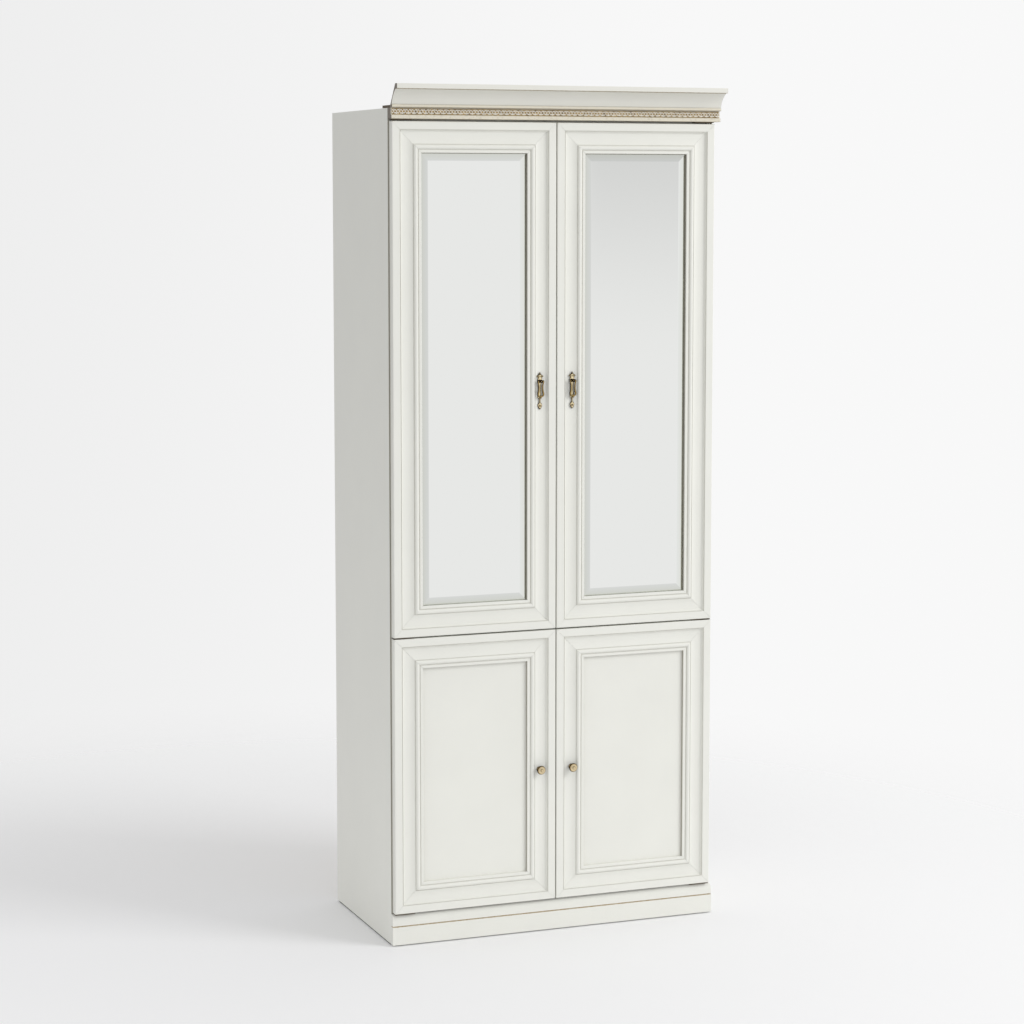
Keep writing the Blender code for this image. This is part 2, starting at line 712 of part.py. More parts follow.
def build_knob(door, centre_x, door_axis):
    """Turned knob: a flared foot, a waist and a domed head with a small button."""
    turned = [
        (7.4, 0.0),
        (7.4, 1.2),
        (5.6, 2.6),
        (4.4, 5.0),
        (4.6, 8.6),
        (7.2, 10.8),
        (10.4, 12.6),
        (11.8, 15.0),
        (11.4, 17.4),
        (9.6, 19.6),
        (7.0, 21.0),
        (4.4, 21.6),
        (3.6, 22.4),
        (2.0, 23.2),
        (0.5, 23.4),
    ]
    profile = [(radius * MM, height * MM) for radius, height in turned]
    seat = (centre_x, DOOR_BACK - KNOB_SEAT, KNOB_Z)
    add_turned(f"{door}_knob", profile, seat, (0, -1, 0), BRASS, door_axis)


def build_doors():
    """The two mirrored upper doors with handles and the two panelled lower doors with knobs."""
    spans = {
        "left": (LEFT + DOOR_INSET, MIDDLE - SEAM / 2),
        "right": (MIDDLE + SEAM / 2, RIGHT - DOOR_INSET),
    }
    for side, x_span in spans.items():
        meeting_edge = x_span[1] if side == "left" else x_span[0]
        outward = -1 if side == "left" else 1
        upper = f"upper_{side}_door"
        axis = build_door(upper, x_span, UPPER_DOOR_Z, side, mirrored=True)
        build_handle(upper, meeting_edge + outward * HANDLE_INSET, axis)
        lower = f"lower_{side}_door"
        axis = build_door(lower, x_span, LOWER_DOOR_Z, side, mirrored=False)
        build_knob(lower, meeting_edge + outward * KNOB_INSET, axis)


def main():
    """Build the whole armoire."""
    clear_scene()
    boards = build_carcass()
    build_plinth()
    build_hanging_rail()
    build_cornice()
    build_doors()
    build_carcass_leaves(boards["middle_panel"])


main()
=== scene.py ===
"""Looks for a tall armoire: two bevelled mirror doors over two panelled doors, in off-white lacquer.

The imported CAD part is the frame. Boards, mouldings and door members keep their CAD shapes and get
procedural finishes here. The carved strip, the drop handles, the knobs and the small ironmongery
are modelled here, each riding on the body that carries it.

Lengths in the classes are millimetres, and MM turns them into the metres that Blender works in.
"""

from __future__ import annotations

import logging
import math
from dataclasses import dataclass
from enum import Enum
from typing import Any, Callable, ClassVar, Iterable, Mapping, Sequence

import bmesh
import bpy
from bpy.types import Material, NodeSocket, NodeTree, Object
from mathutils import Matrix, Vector

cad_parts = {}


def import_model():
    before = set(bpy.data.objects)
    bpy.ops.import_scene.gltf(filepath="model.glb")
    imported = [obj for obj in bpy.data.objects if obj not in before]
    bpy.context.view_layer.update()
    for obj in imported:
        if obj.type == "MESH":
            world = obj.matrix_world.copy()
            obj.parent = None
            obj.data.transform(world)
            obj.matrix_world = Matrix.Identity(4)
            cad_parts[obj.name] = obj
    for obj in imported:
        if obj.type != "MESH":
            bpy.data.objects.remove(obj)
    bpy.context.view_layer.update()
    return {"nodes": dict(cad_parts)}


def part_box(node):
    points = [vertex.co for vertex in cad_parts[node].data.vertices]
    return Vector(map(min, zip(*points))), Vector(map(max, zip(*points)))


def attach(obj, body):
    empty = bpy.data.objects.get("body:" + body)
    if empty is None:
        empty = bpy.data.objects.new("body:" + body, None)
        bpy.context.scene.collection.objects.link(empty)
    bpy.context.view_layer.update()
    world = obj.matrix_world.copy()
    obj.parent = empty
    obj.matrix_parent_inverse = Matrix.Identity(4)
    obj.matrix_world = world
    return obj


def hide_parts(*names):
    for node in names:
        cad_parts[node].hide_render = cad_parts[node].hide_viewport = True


MM = 0.001
LOG = logging.getLogger("armoire")
BODY_MIDDLE = -4.65  # across, between the side panels
BODY_FRONT = -198.6  # just behind the side panels' front edges
# Node settings that recur.
TIMES = {"operation": "MULTIPLY"}
TIMES_PLUS = {"operation": "MULTIPLY_ADD"}
SIZE_OF = {"operation": "ABSOLUTE"}
SMOOTH = {"interpolation_type": "SMOOTHSTEP"}
NUMBER = {"data_type": "FLOAT"}


# ---------------------------------------------------------------- colour and nodes


def linear(hex_colour: str) -> tuple[float, float, float, float]:
    """Turn an sRGB hex colour into the linear values that shaders use.

    Args:
        hex_colour: Six hex digits after a hash sign.

    Returns:
        Linear red, green, blue and an alpha of 1.
    """
    channels = [int(hex_colour[i : i + 2], 16) / 255 for i in (1, 3, 5)]
    turned = [c / 12.92 if c <= 0.04045 else ((c + 0.055) / 1.055) ** 2.4 for c in channels]
    return turned[0], turned[1], turned[2], 1.0


def per_metre(feature_mm: float) -> float:
    """Noise scale that makes features of this many millimetres on Object coordinates."""
    return 1.0 / (feature_mm * MM)


def add_node(
    tree: NodeTree, kind: str, inputs: Mapping[str | int, Any] | None = None,
    settings: Mapping[str, Any] | None = None, stops: Sequence[tuple[float, str]] | None = None,
    out: str | int = 0,
) -> NodeSocket | None:
    """Add one node with its settings, socket values, links and ramp stops.

    Args:
        tree: The node tree that the node joins.
        kind: Blender's name for the node type, without its ShaderNode start.
        inputs: Socket name or number to a value, or to the output socket that feeds it.
        settings: Properties of the node itself.
        stops: Positions and hex colours, where the node has a colour ramp.
        out: Name or number of the output that is wanted.

    Returns:
        That output socket, or None for a node that has no outputs.
    """
    node = tree.nodes.new(f"ShaderNode{kind}")
    for name, value in (settings or {}).items():
        setattr(node, name, value)
    for key, value in (inputs or {}).items():
        if isinstance(value, NodeSocket):
            tree.links.new(value, node.inputs[key])
        else:
            node.inputs[key].default_value = value
    if stops:
        ramp = node.color_ramp
        ramp.elements[0].position, ramp.elements[-1].position = stops[0][0], stops[-1][0]
        for position, _ in stops[1:-1]:
            ramp.elements.new(position)
        for element, (_, colour) in zip(ramp.elements, stops):
            element.color = linear(colour)
    return node.outputs[out] if node.outputs else None


# ---------------------------------------------------------------- finishes


@dataclass(frozen=True)
class Finish:
    """A surface finish. Its material is made once and shared by every piece that wears it."""

    name: str
    made: ClassVar[dict[str, Material]] = {}

    def surface(self, tree: NodeTree) -> NodeSocket:
        """Build the finish's nodes.

        Args:
            tree: The material's node tree.

        Returns:
            The shader socket.
        """
        raise NotImplementedError

    def material(self) -> Material:
        """Build the finish's material the first time, and hand out the same one after that.

        Returns:
            The material.
        """
        if self.name not in self.made:
            material = bpy.data.materials.new(self.name)
            material.use_nodes = True
            material.node_tree.nodes.clear()
            shader = self.surface(material.node_tree)
            add_node(material.node_tree, "OutputMaterial", {"Surface": shader})
            self.made[self.name] = material
        return self.made[self.name]

    def paint(self, obj: Object) -> Object:
        """Put the finish on an object, through its own material slots.

        Args:
            obj: A new piece or a CAD node, whose mesh data stays as it is.

        Returns:
            The same object.
        """
        if not obj.material_slots:
            obj.data.materials.append(self.material())
        for slot in obj.material_slots:
            slot.link = "OBJECT"
            slot.material = self.material()
        return obj


@dataclass(frozen=True)
class WashAndShadowLine:
    """A band that runs level round a moulding, for gilt and glaze and for painted shadow lines.

    Args:
        centre: Height of the middle of the band above the floor.
        half: Half the band's width.
        colour: Hex colour of the band.
        strength: Share of the band's colour at its middle.
    """

    centre: float
    half: float
    colour: str
    strength: float


@dataclass(frozen=True)
class SatinLacquer(Finish):
    """Sprayed satin lacquer on MDF: off-white, with a soft sheen and a faint orange peel.

    The eye gets a smooth even coat, greyer and a little warmer in the quirks and recesses, where glaze
    settles and where shade is painted in.
    """

    colour: str = "#F0F0E9"
    # Glaze colour, which also paints the shade in the quirks and recesses.
    glaze_and_shade: str = "#8C8674"
    glaze_and_shade_share: float = 0.38
    roughness: float = 0.36
    quirk: float = 10.0  # how far the glaze and painted shade look for a nearby wall
    peel: float = 5.0  # real orange peel is about 2 mm, drawn coarser so that it can show
    lines: tuple[WashAndShadowLine, ...] = ()
    cut_end: float = 0.0  # distance of the sawn ends from the middle plane, 0 for none
    speckle: float = 0.0  # share of fine brown fly-speck in the wash
    arris: float = 0.0  # distance of the front arrises with painted shade from the body's middle, 0 for none
    speck_colour: str = "#8A744E"
    sawn_colour: str = "#6E6354"
    arris_shade_colour: str = "#A3A094"

    def surface(self, tree: NodeTree) -> NodeSocket:
        """Build coat, glaze with painted shade in the quirks, gilt bands and painted shadow lines,
        fly-speck, sawn ends, painted shade on the front arrises, and orange peel.

        Args:
            tree: The material's node tree.

        Returns:
            The shader socket.
        """
        where = add_node(tree, "TexCoord", out="Object")
        cloud = add_node(
            tree, "TexNoise", {"Vector": where, "Scale": per_metre(160), "Detail": 3.0, "Roughness": 0.55}
        )
        fine = add_node(tree, "TexNoise", {"Vector": where, "Scale": per_metre(self.peel), "Detail": 2.0})
        tone = add_node(
            tree, "MapRange",
            {"Value": cloud, "From Min": 0.3, "From Max": 0.7, "To Min": 0.975, "To Max": 1.0},
        )
        coat = add_node(tree, "HueSaturation", {"Value": tone, "Color": linear(self.colour)})
        # Painted shade: ambient occlusion lays the glaze colour into quirks and recesses, as glaze and
        # shade together.
        open_share = add_node(
            tree, "AmbientOcclusion", {"Distance": self.quirk * MM},
            settings={"samples": 6, "only_local": True}, out="AO",
        )
        settled_glaze_and_shade = add_node(
            tree, "MapRange",
            {
                "Value": open_share, "From Min": 0.35, "From Max": 0.85, "To Min": self.glaze_and_shade_share,
                "To Max": 0.0,
            },
            settings=SMOOTH,
        )
        colour = self.blend(tree, coat, linear(self.glaze_and_shade), settled_glaze_and_shade)
        parts = add_node(tree, "SeparateXYZ", {"Vector": where}).node.outputs
        # Level bands: gilt and glaze, and painted shadow lines under the crown's fillet, at the crown
        # bead's foot and along the lip's lower edge.
        for line in self.lines:
            away = add_node(
                tree, "Math", {0: parts["Z"], 1: line.centre * MM, 2: line.half * MM},
                settings={"operation": "COMPARE"},
            )
            wash_and_shadow = add_node(
                tree, "Math", {0: away, 1: self.broken(tree, fine, line.strength)}, settings=TIMES
            )
            colour = self.blend(tree, colour, linear(line.colour), wash_and_shadow)
        if self.speckle:
            fly = add_node(
                tree, "TexNoise", {"Vector": where, "Scale": per_metre(6), "Detail": 4.0, "Roughness": 0.8}
            )
            spots = add_node(
                tree, "MapRange",
                {"Value": fly, "From Min": 0.52, "From Max": 0.68, "To Min": 0.0, "To Max": self.speckle},
            )
            colour = self.blend(tree, colour, linear(self.speck_colour), spots)
        if self.cut_end:
            reach = add_node(tree, "Math", {0: parts["X"]}, settings=SIZE_OF)
            sawn = add_node(
                tree, "Math", {0: reach, 1: (self.cut_end - 0.15) * MM},
                settings={"operation": "GREATER_THAN"},
            )
            colour = self.blend(tree, colour, linear(self.sawn_colour), sawn)
        # Painted shade: a grey line on the outer front arris, where the gap beside the door lies in shade.
        if self.arris:
            colour = self.blend(
                tree, colour, linear(self.arris_shade_colour), self.arris_shade_share(tree, parts["X"], parts["Y"])
            )
        rough = add_node(
            tree, "MapRange",
            {
                "Value": cloud, "From Min": 0.3, "From Max": 0.7, "To Min": self.roughness - 0.03,
                "To Max": self.roughness + 0.04,
            },
        )
        bump = add_node(tree, "Bump", {"Strength": 0.35, "Distance": 0.03 * MM, "Height": fine})
        return add_node(
            tree, "BsdfPrincipled", {"Base Color": colour, "Roughness": rough, "IOR": 1.5, "Normal": bump}
        )

    def blend(self, tree: NodeTree, under: Any, over: Any, share: NodeSocket) -> NodeSocket:
        """Mix a colour over another by a share and return the result."""
        return add_node(
            tree, "Mix", {"Factor": share, 6: under, 7: over}, settings={"data_type": "RGBA"}, out=2
        )

    def arris_shade_share(self, tree: NodeTree, across: NodeSocket, along: NodeSocket) -> NodeSocket:
        """Find the outer arris of a front edge, where the shade of the gap beside the door is painted on.

        Args:
            tree: The material's node tree.
            across: Place from left to right.
            along: Place from front to back.

        Returns:
            1 on the arris and 0 elsewhere.
        """
        shifted = add_node(
            tree, "Math", {0: across, 1: BODY_MIDDLE * MM}, settings={"operation": "SUBTRACT"}
        )
        reach = add_node(tree, "Math", {0: shifted}, settings=SIZE_OF)
        outer = add_node(
            tree, "Math", {0: reach, 1: self.arris * MM}, settings={"operation": "GREATER_THAN"}
        )
        front = add_node(tree, "Math", {0: along, 1: BODY_FRONT * MM}, settings={"operation": "LESS_THAN"})
        return add_node(tree, "Math", {0: outer, 1: front}, settings=TIMES)

    def broken(self, tree: NodeTree, fine: NodeSocket, strength: float) -> NodeSocket:
        """Return a share that wavers round a strength, as a hand-wiped wash does; painted shadow lines
        waver the same way.
        """
        return add_node(
            tree, "MapRange",
            {
                "Value": fine, "From Min": 0.35, "From Max": 0.65, "To Min": strength * 0.75,
                "To Max": min(1.0, strength * 1.15),
            },
        )


@dataclass(frozen=True)
class BareBoard(Finish):
    """Sawn chipboard edge, stained dark: dull, brown and granular."""

    def surface(self, tree: NodeTree) -> NodeSocket:
        """Build the mix of chips and resin.

        Args:
            tree: The material's node tree.

        Returns:
            The shader socket.
        """
        where = add_node(tree, "TexCoord", out="Object")
        chips = add_node(tree, "TexVoronoi", {"Vector": where, "Scale": per_metre(2.5), "Randomness": 1.0})
        colour = add_node(
            tree, "ValToRGB", {"Fac": chips}, stops=((0.0, "#7C6F5D"), (0.5, "#655949"), (1.0, "#463C30"))
        )
        bump = add_node(tree, "Bump", {"Strength": 0.6, "Distance": 0.2 * MM, "Height": chips})
        return add_node(
            tree, "BsdfPrincipled", {"Base Color": colour, "Roughness": 0.8, "IOR": 1.5, "Normal": bump}
        )


def rubbed_and_lit_share(tree: NodeTree, side_on: float, face_on: float) -> NodeSocket:
    """Return how much a surface that looks forward is made bright, by rubbing wear and by painted
    highlight; sides keep their patina and a painted shade.

    Args:
        tree: The material's node tree.
        side_on: Forward part of the piece's own normal where the rubbing and the painted highlight begin.
        face_on: Forward part of the normal where it is complete.

    Returns:
        A share from 0 to 1 that turns with the piece.
    """
    facing = add_node(tree, "TexCoord", out="Normal")
    forward = add_node(tree, "SeparateXYZ", {"Vector": facing}, out="Y")
    return add_node(
        tree, "MapRange", {"Value": forward, "From Min": side_on, "From Max": face_on}, settings=SMOOTH
    )


@dataclass(frozen=True)
class GiltCarving(Finish):
    """Pressed carving in cream and gold size, with umber wiped into its ground.

    The eye gets pale gold on the raised parts and brown in the hollows; together these also paint a
    highlight on the forward crests and shade in the ground.
    """

    ground: float = -225.9  # how far forward the umber ground lies
    crest: float = -228.3  # how far forward the crests stand

    def surface(self, tree: NodeTree) -> NodeSocket:
        """Build gilt by relief, worn unevenly by rubbing, with painted shade in the ground and painted
        highlight on forward crests.

        Args:
            tree: The material's node tree.

        Returns:
            The shader socket.
        """
        where = add_node(tree, "TexCoord", out="Object")
        forward = add_node(tree, "SeparateXYZ", {"Vector": where}, out="Y")
        relief = add_node(
            tree, "MapRange", {"Value": forward, "From Min": self.ground * MM, "From Max": self.crest * MM}
        )
        rub = add_node(tree, "TexNoise", {"Vector": where, "Scale": per_metre(7), "Detail": 3.0})
        crest = add_node(tree, "Math", {0: relief, 1: rubbed_and_lit_share(tree, 0.6, -0.5)}, settings=TIMES)
        rubbed_and_lit = add_node(tree, "Math", {0: rub, 1: 0.3, 2: crest}, settings=TIMES_PLUS)
        # The ramp gives umber and gilt, and it also paints shade in the ground and a highlight on the
        # forward crests.
        gilt = add_node(
            tree, "ValToRGB", {"Fac": rubbed_and_lit},
            stops=((0.08, "#5F4A2B"), (0.19, "#CDB178"), (0.33, "#FDF5DF"), (0.6, "#FFFDF6")),
        )
        shine = add_node(
            tree, "MapRange",
            {"Value": rubbed_and_lit, "From Min": 0.3, "From Max": 1.0, "To Min": 0.62, "To Max": 0.30},
        )
        return add_node(tree, "BsdfPrincipled", {"Base Color": gilt, "Metallic": 0.1, "Roughness": shine})


@dataclass(frozen=True)
class AntiqueBrass(Finish):
    """Cast brass, lacquered over a dark patina that wore off the high parts by rubbing; forward faces also
    get a painted highlight and side faces a painted shade.
    """

    high: str = "#EBCF93"
    middle: str = "#8F6F38"
    low: str = "#1E1407"
    reach: float = 3.5  # how near a wall has to be to keep the patina
    side_on: float = -0.45
    face_on: float = -0.98
    roughness: float = 0.24

    def surface(self, tree: NodeTree) -> NodeSocket:
        """Build brass worn bright by rubbing over patina, with a painted highlight on forward faces, and a
        cast skin.

        Args:
            tree: The material's node tree.

        Returns:
            The shader socket.
        """
        where = add_node(tree, "TexCoord", out="Object")
        skin = add_node(
            tree, "TexNoise", {"Vector": where, "Scale": per_metre(2.5), "Detail": 4.0, "Roughness": 0.6}
        )
        open_share = add_node(
            tree, "AmbientOcclusion", {"Distance": self.reach * MM}, settings={"samples": 8}, out="AO"
        )
        # Painted highlight and shade: forward faces bright and side faces dark, besides the patina kept
        # near walls.
        bright = add_node(
            tree, "Math", {0: open_share, 1: rubbed_and_lit_share(tree, self.side_on, self.face_on)}, settings=TIMES
        )
        worn_and_lit = add_node(tree, "Math", {0: skin, 1: 0.3, 2: bright}, settings=TIMES_PLUS)
        colour = add_node(
            tree, "ValToRGB", {"Fac": worn_and_lit}, stops=((0.18, self.low), (0.5, self.middle), (0.95, self.high))
        )
        rough = add_node(
            tree, "MapRange",
            {
                "Value": worn_and_lit, "From Min": 0.2, "From Max": 1.0, "To Min": self.roughness + 0.25,
                "To Max": self.roughness,
            },
        )
        bump = add_node(tree, "Bump", {"Strength": 0.4, "Distance": 0.06 * MM, "Height": skin})
        return add_node(
            tree, "BsdfPrincipled",
            {"Base Color": colour, "Metallic": 1.0, "Roughness": rough, "Normal": bump},
        )


@dataclass(frozen=True)
class SilveredMirror(Finish):
    """Float glass silvered on its back: a clear reflection, cooler along the ground bevel."""

    front: float = -212.5  # where the flat face lies, front to back
    bevel_drop: float = 1.6  # how far the ground bevel falls back

    def surface(self, tree: NodeTree) -> NodeSocket:
        """Build silver, the bevel's cool tint and a trace of haze.

        Args:
            tree: The material's node tree.

        Returns:
            The shader socket.
        """
        where = add_node(tree, "TexCoord", out="Object")
        forward = add_node(tree, "SeparateXYZ", {"Vector": where}, out="Y")
        bevel = add_node(
            tree, "MapRange",
            {
                "Value": forward, "From Min": (self.front + 0.05) * MM,
                "From Max": (self.front + self.bevel_drop) * MM,
            },
        )
        tint = add_node(
            tree, "ValToRGB", {"Fac": bevel}, stops=((0.0, "#F5F6F4"), (0.06, "#F1F3F0"), (1.0, "#E8EAE2"))
        )
        haze = add_node(tree, "TexNoise", {"Vector": where, "Scale": per_metre(120), "Detail": 4.0})
        rough = add_node(
            tree, "MapRange",
            {"Value": haze, "From Min": 0.3, "From Max": 0.7, "To Min": 0.0, "To Max": 0.03},
        )
        return add_node(tree, "BsdfPrincipled", {"Base Color": tint, "Metallic": 1.0, "Roughness": rough})


@dataclass(frozen=True)
class PlatedSteel(Finish):
    """Electroplated steel, bright nickel-chrome or dull zinc, with faint drawn lines."""

    colour: str = "#C9CACB"
    roughness: float = 0.2
    grain: float = 0.6  # spacing of the drawn lines

    def surface(self, tree: NodeTree) -> NodeSocket:
        """Build plating with drawn lines along the bar.

        Args:
            tree: The material's node tree.

        Returns:
            The shader socket.
        """
        where = add_node(tree, "TexCoord", out="Object")
        drawn = add_node(
            tree, "Mapping", {"Vector": where, "Scale": (0.04, 1.0, 1.0)}, settings={"vector_type": "POINT"}
        )
        lines = add_node(tree, "TexNoise", {"Vector": drawn, "Scale": per_metre(self.grain), "Detail": 2.0})
        rough = add_node(
            tree, "MapRange",
            {
                "Value": lines, "From Min": 0.3, "From Max": 0.7, "To Min": self.roughness * 0.8,
                "To Max": self.roughness * 1.3,
            },
        )
        return add_node(
            tree, "BsdfPrincipled", {"Base Color": linear(self.colour), "Metallic": 1.0, "Roughness": rough}
        )


@dataclass(frozen=True)
class Hardboard(Finish):
    """Pressed hardboard, painted on one side: fibrous, matt and a little uneven."""

    def surface(self, tree: NodeTree) -> NodeSocket:
        """Build felted fibres under thin paint.

        Args:
            tree: The material's node tree.

        Returns:
            The shader socket.
        """
        where = add_node(tree, "TexCoord", out="Object")
        fibres = add_node(
            tree, "TexNoise",
            {"Vector": where, "Scale": per_metre(4), "Detail": 6.0, "Roughness": 0.7, "Distortion": 1.5},
        )
        colour = add_node(
            tree, "ValToRGB", {"Fac": fibres},
            stops=((0.3, "#C7BEA9"), (0.55, "#D8D1C0"), (0.75, "#E0DACB")),
        )
        bump = add_node(tree, "Bump", {"Strength": 0.4, "Distance": 0.1 * MM, "Height": fibres})
        return add_node(
            tree, "BsdfPrincipled", {"Base Color": colour, "Roughness": 0.68, "IOR": 1.5, "Normal": bump}
        )


@dataclass(frozen=True)
class MouldedPlastic(Finish):
    """Injection-moulded polypropylene, with the fine spark texture of its tool."""

    colour: str = "#2B2A28"
    roughness: float = 0.48

    def surface(self, tree: NodeTree) -> NodeSocket:
        """Build plain plastic with a spark-eroded skin.

        Args:
            tree: The material's node tree.

        Returns:
            The shader socket.
        """
        where = add_node(tree, "TexCoord", out="Object")
        spark = add_node(tree, "TexNoise", {"Vector": where, "Scale": per_metre(0.8), "Detail": 2.0})
        rough = add_node(
            tree, "MapRange",
            {"Value": spark, "To Min": self.roughness - 0.06, "To Max": self.roughness + 0.08},
        )
        bump = add_node(tree, "Bump", {"Strength": 0.3, "Distance": 0.05 * MM, "Height": spark})
        return add_node(
            tree, "BsdfPrincipled",
            {"Base Color": linear(self.colour), "Roughness": rough, "IOR": 1.49, "Normal": bump},
        )


@dataclass(frozen=True)
class StudioFloor(Finish):
    """Matt painted floor that runs out into the pale surroundings, so that its rim is never seen."""

    colour: str = "#FAFAFB"
    solid: float = 800.0  # radius inside which the floor is wholly there
    gone: float = 3300.0  # radius at which it has run out
    shade_side: float = 550.0  # how far left of the object the floor's middle lies, where shadows fall

    def surface(self, tree: NodeTree) -> NodeSocket:
        """Build matt paint that fades to nothing far out.

        Args:
            tree: The material's node tree.

        Returns:
            The shader socket.
        """
        where = add_node(tree, "TexCoord", out="Object")
        centred = add_node(tree, "Mapping", {"Vector": where, "Location": (self.shade_side * MM, 0.0, 0.0)})
        away = add_node(tree, "VectorMath", {0: centred}, settings={"operation": "LENGTH"}, out="Value")
        share = add_node(
            tree, "MapRange", {"Value": away, "From Min": self.solid * MM, "From Max": self.gone * MM},
            settings=SMOOTH,
        )
        paint = add_node(tree, "BsdfDiffuse", {"Color": linear(self.colour)})
        clear = add_node(tree, "BsdfTransparent")
        return add_node(tree, "MixShader", {0: share, 1: paint, 2: clear})


CUT_END = 464.15  # distance of the crown's and frieze's sawn ends from the middle plane
LACQUER = SatinLacquer("satin_lacquer")
# The side panels get a painted shade line along their outer front arrises.
SIDE_LACQUER = SatinLacquer("satin_lacquer_painted_arris_shade", arris=455.8)
PLINTH_LACQUER = SatinLacquer("satin_lacquer_gilt_groove", lines=(WashAndShadowLine(53.3, 1.6, "#A58A55", 0.75),))
# The lip's level band is a painted shadow along its lower edge, over the gap above the doors.
FRIEZE_LACQUER = SatinLacquer(
    "wiped_lacquer_lip_shadow_line", colour="#E6E0CF", lines=(WashAndShadowLine(2171.5, 1.2, "#8A7650", 0.5),), cut_end=CUT_END,
    speckle=0.35,
)
# From the bottom up: a gilt line at the bead's foot that also paints the shadow above the strip, the tan
# gilt bead, and a painted shadow under the fillet that also serves as a gilt line.
CROWN_LACQUER = SatinLacquer(
    "satin_lacquer_gilt_bead_shadow_lines", colour="#EBEAE2",
    lines=(
        WashAndShadowLine(2200.9, 1.0, "#8D7444", 0.7), WashAndShadowLine(2205.0, 3.0, "#DDD1B2", 0.5),
        WashAndShadowLine(2246.7, 0.7, "#8A7347", 0.85),
    ),
    cut_end=CUT_END,
)
BARE_BOARD = BareBoard("bare_chipboard")
GILDING = GiltCarving("gilt_carving")
# On each brass the bright forward faces are painted highlight as well as wear.
BRASS = AntiqueBrass(
    "antique_brass", high="#FFEFC4", middle="#A07F47", low="#2A1C0B", side_on=-0.945, face_on=-0.996
)
DARK_BRASS = AntiqueBrass(
    "dark_antique_brass", high="#BA9F68", middle="#6B5833", low="#30261A", side_on=-0.7, face_on=-1.0,
    roughness=0.26,
)
KNOB_BRASS = AntiqueBrass(
    "satin_brass", high="#E8D6B0", middle="#A68A5A", low="#2C200F", reach=2.0, side_on=-0.5, face_on=-0.985,
    roughness=0.3,
)
# Grey tape in the door rebates, standing in for the shade on the rebate walls.
SHADE_TAPE = MouldedPlastic("grey_rebate_shade_tape", colour="#ABA79B", roughness=0.85)
MIRROR = SilveredMirror("silvered_mirror")
CHROME = PlatedSteel("bright_chrome", colour="#D8DADC", roughness=0.1)
STEEL = PlatedSteel("zinc_plated_steel", colour="#B9BABA", roughness=0.32)
BRONZED = PlatedSteel("bronzed_steel", colour="#665B4A", roughness=0.4)
HARDBOARD = Hardboard("painted_hardboard")
PLASTIC = MouldedPlastic("black_polypropylene")
# Dark felt put in the gap below the doors to paint its shade.
SHADE_FELT = MouldedPlastic("brown_shade_felt", colour="#3B342A", roughness=0.9)
CLEAR_PLASTIC = MouldedPlastic("milky_polyurethane", colour="#D9D8D2", roughness=0.35)


# ---------------------------------------------------------------- the modelling bench


class Axis(Enum):
    """A direction that a turned piece points in."""

    FORWARD = (0.0, -1.0, 0.0)
    BACK = (0.0, 1.0, 0.0)
    LEFT = (-1.0, 0.0, 0.0)
    RIGHT = (1.0, 0.0, 0.0)


def clear_selection() -> None:
    """Leave edit mode and select nothing, since operators act on all that is selected."""
    if bpy.context.mode != "OBJECT":
        bpy.ops.object.mode_set(mode="OBJECT")
    bpy.ops.object.select_all(action="DESELECT")


def pick(*pieces: Object) -> None:
    """Select just these pieces and make the first of them active.

    Args:
        pieces: The pieces.
    """
    clear_selection()
    for piece in pieces:
        piece.select_set(True)
    bpy.context.view_layer.objects.active = pieces[0]


def box_mm(node: str) -> tuple[Vector, Vector]:
    """Lowest and highest corner of a CAD node, in millimetres."""
    low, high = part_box(node)
    return low / MM, high / MM


def begin_edit() -> Object:
    """Open the active object in edit mode with all of it selected.

    Returns:
        The active object.
    """
    obj = bpy.context.object
    bpy.ops.object.mode_set(mode="EDIT")
    bpy.ops.mesh.select_mode(type="VERT")
    bpy.ops.mesh.select_all(action="SELECT")
    return obj


def settle(obj: Object, name: str, smooth_angle: float = 35.0, close_ends: bool = False) -> Object:
    """Name a piece, apply its modifiers and place, and shade it.

    Args:
        obj: The piece, in any mode.
        name: Its name from now on.
        smooth_angle: Edges flatter than this many degrees look round.
        close_ends: Whether open ends get a face.

    Returns:
        The same piece, with its object at the origin and its place in its mesh.
    """
    pick(obj)
    for modifier in list(obj.modifiers):
        bpy.ops.object.modifier_apply(modifier=modifier.name)
    bpy.ops.object.transform_apply(location=True, rotation=True, scale=True)
    bpy.ops.object.mode_set(mode="EDIT")
    bpy.ops.mesh.select_all(action="SELECT")
    if close_ends:
        bpy.ops.mesh.fill_holes(sides=0)
        bpy.ops.mesh.select_all(action="SELECT")
    bpy.ops.mesh.normals_make_consistent(inside=False)
    bpy.ops.object.mode_set(mode="OBJECT")
    bpy.ops.object.shade_smooth_by_angle(angle=math.radians(smooth_angle))
    obj.name = obj.data.name = name
    obj.select_set(False)
    return obj


def select_where(obj: Object, test: Callable[[Vector], bool]) -> None:
    """Select the vertices of an object in edit mode that pass a test on their place.

    Args:
        obj: The object that is being edited.
        test: Takes a vertex position and says whether it is wanted.
    """
    bpy.ops.mesh.select_all(action="DESELECT")
    mesh = bmesh.from_edit_mesh(obj.data)
    for vertex in mesh.verts:
        vertex.select_set(test(vertex.co))
    mesh.select_flush(True)
    bmesh.update_edit_mesh(obj.data)


def add_modifier(obj: Object, kind: str, **settings: Any) -> None:
    """Add a modifier, which settle applies later.

    Args:
        obj: The piece.
        kind: Blender's name for the modifier type.
        settings: The modifier's properties.
    """
    modifier = obj.modifiers.new(kind.title(), kind)
    for name, value in settings.items():
        setattr(modifier, name, value)


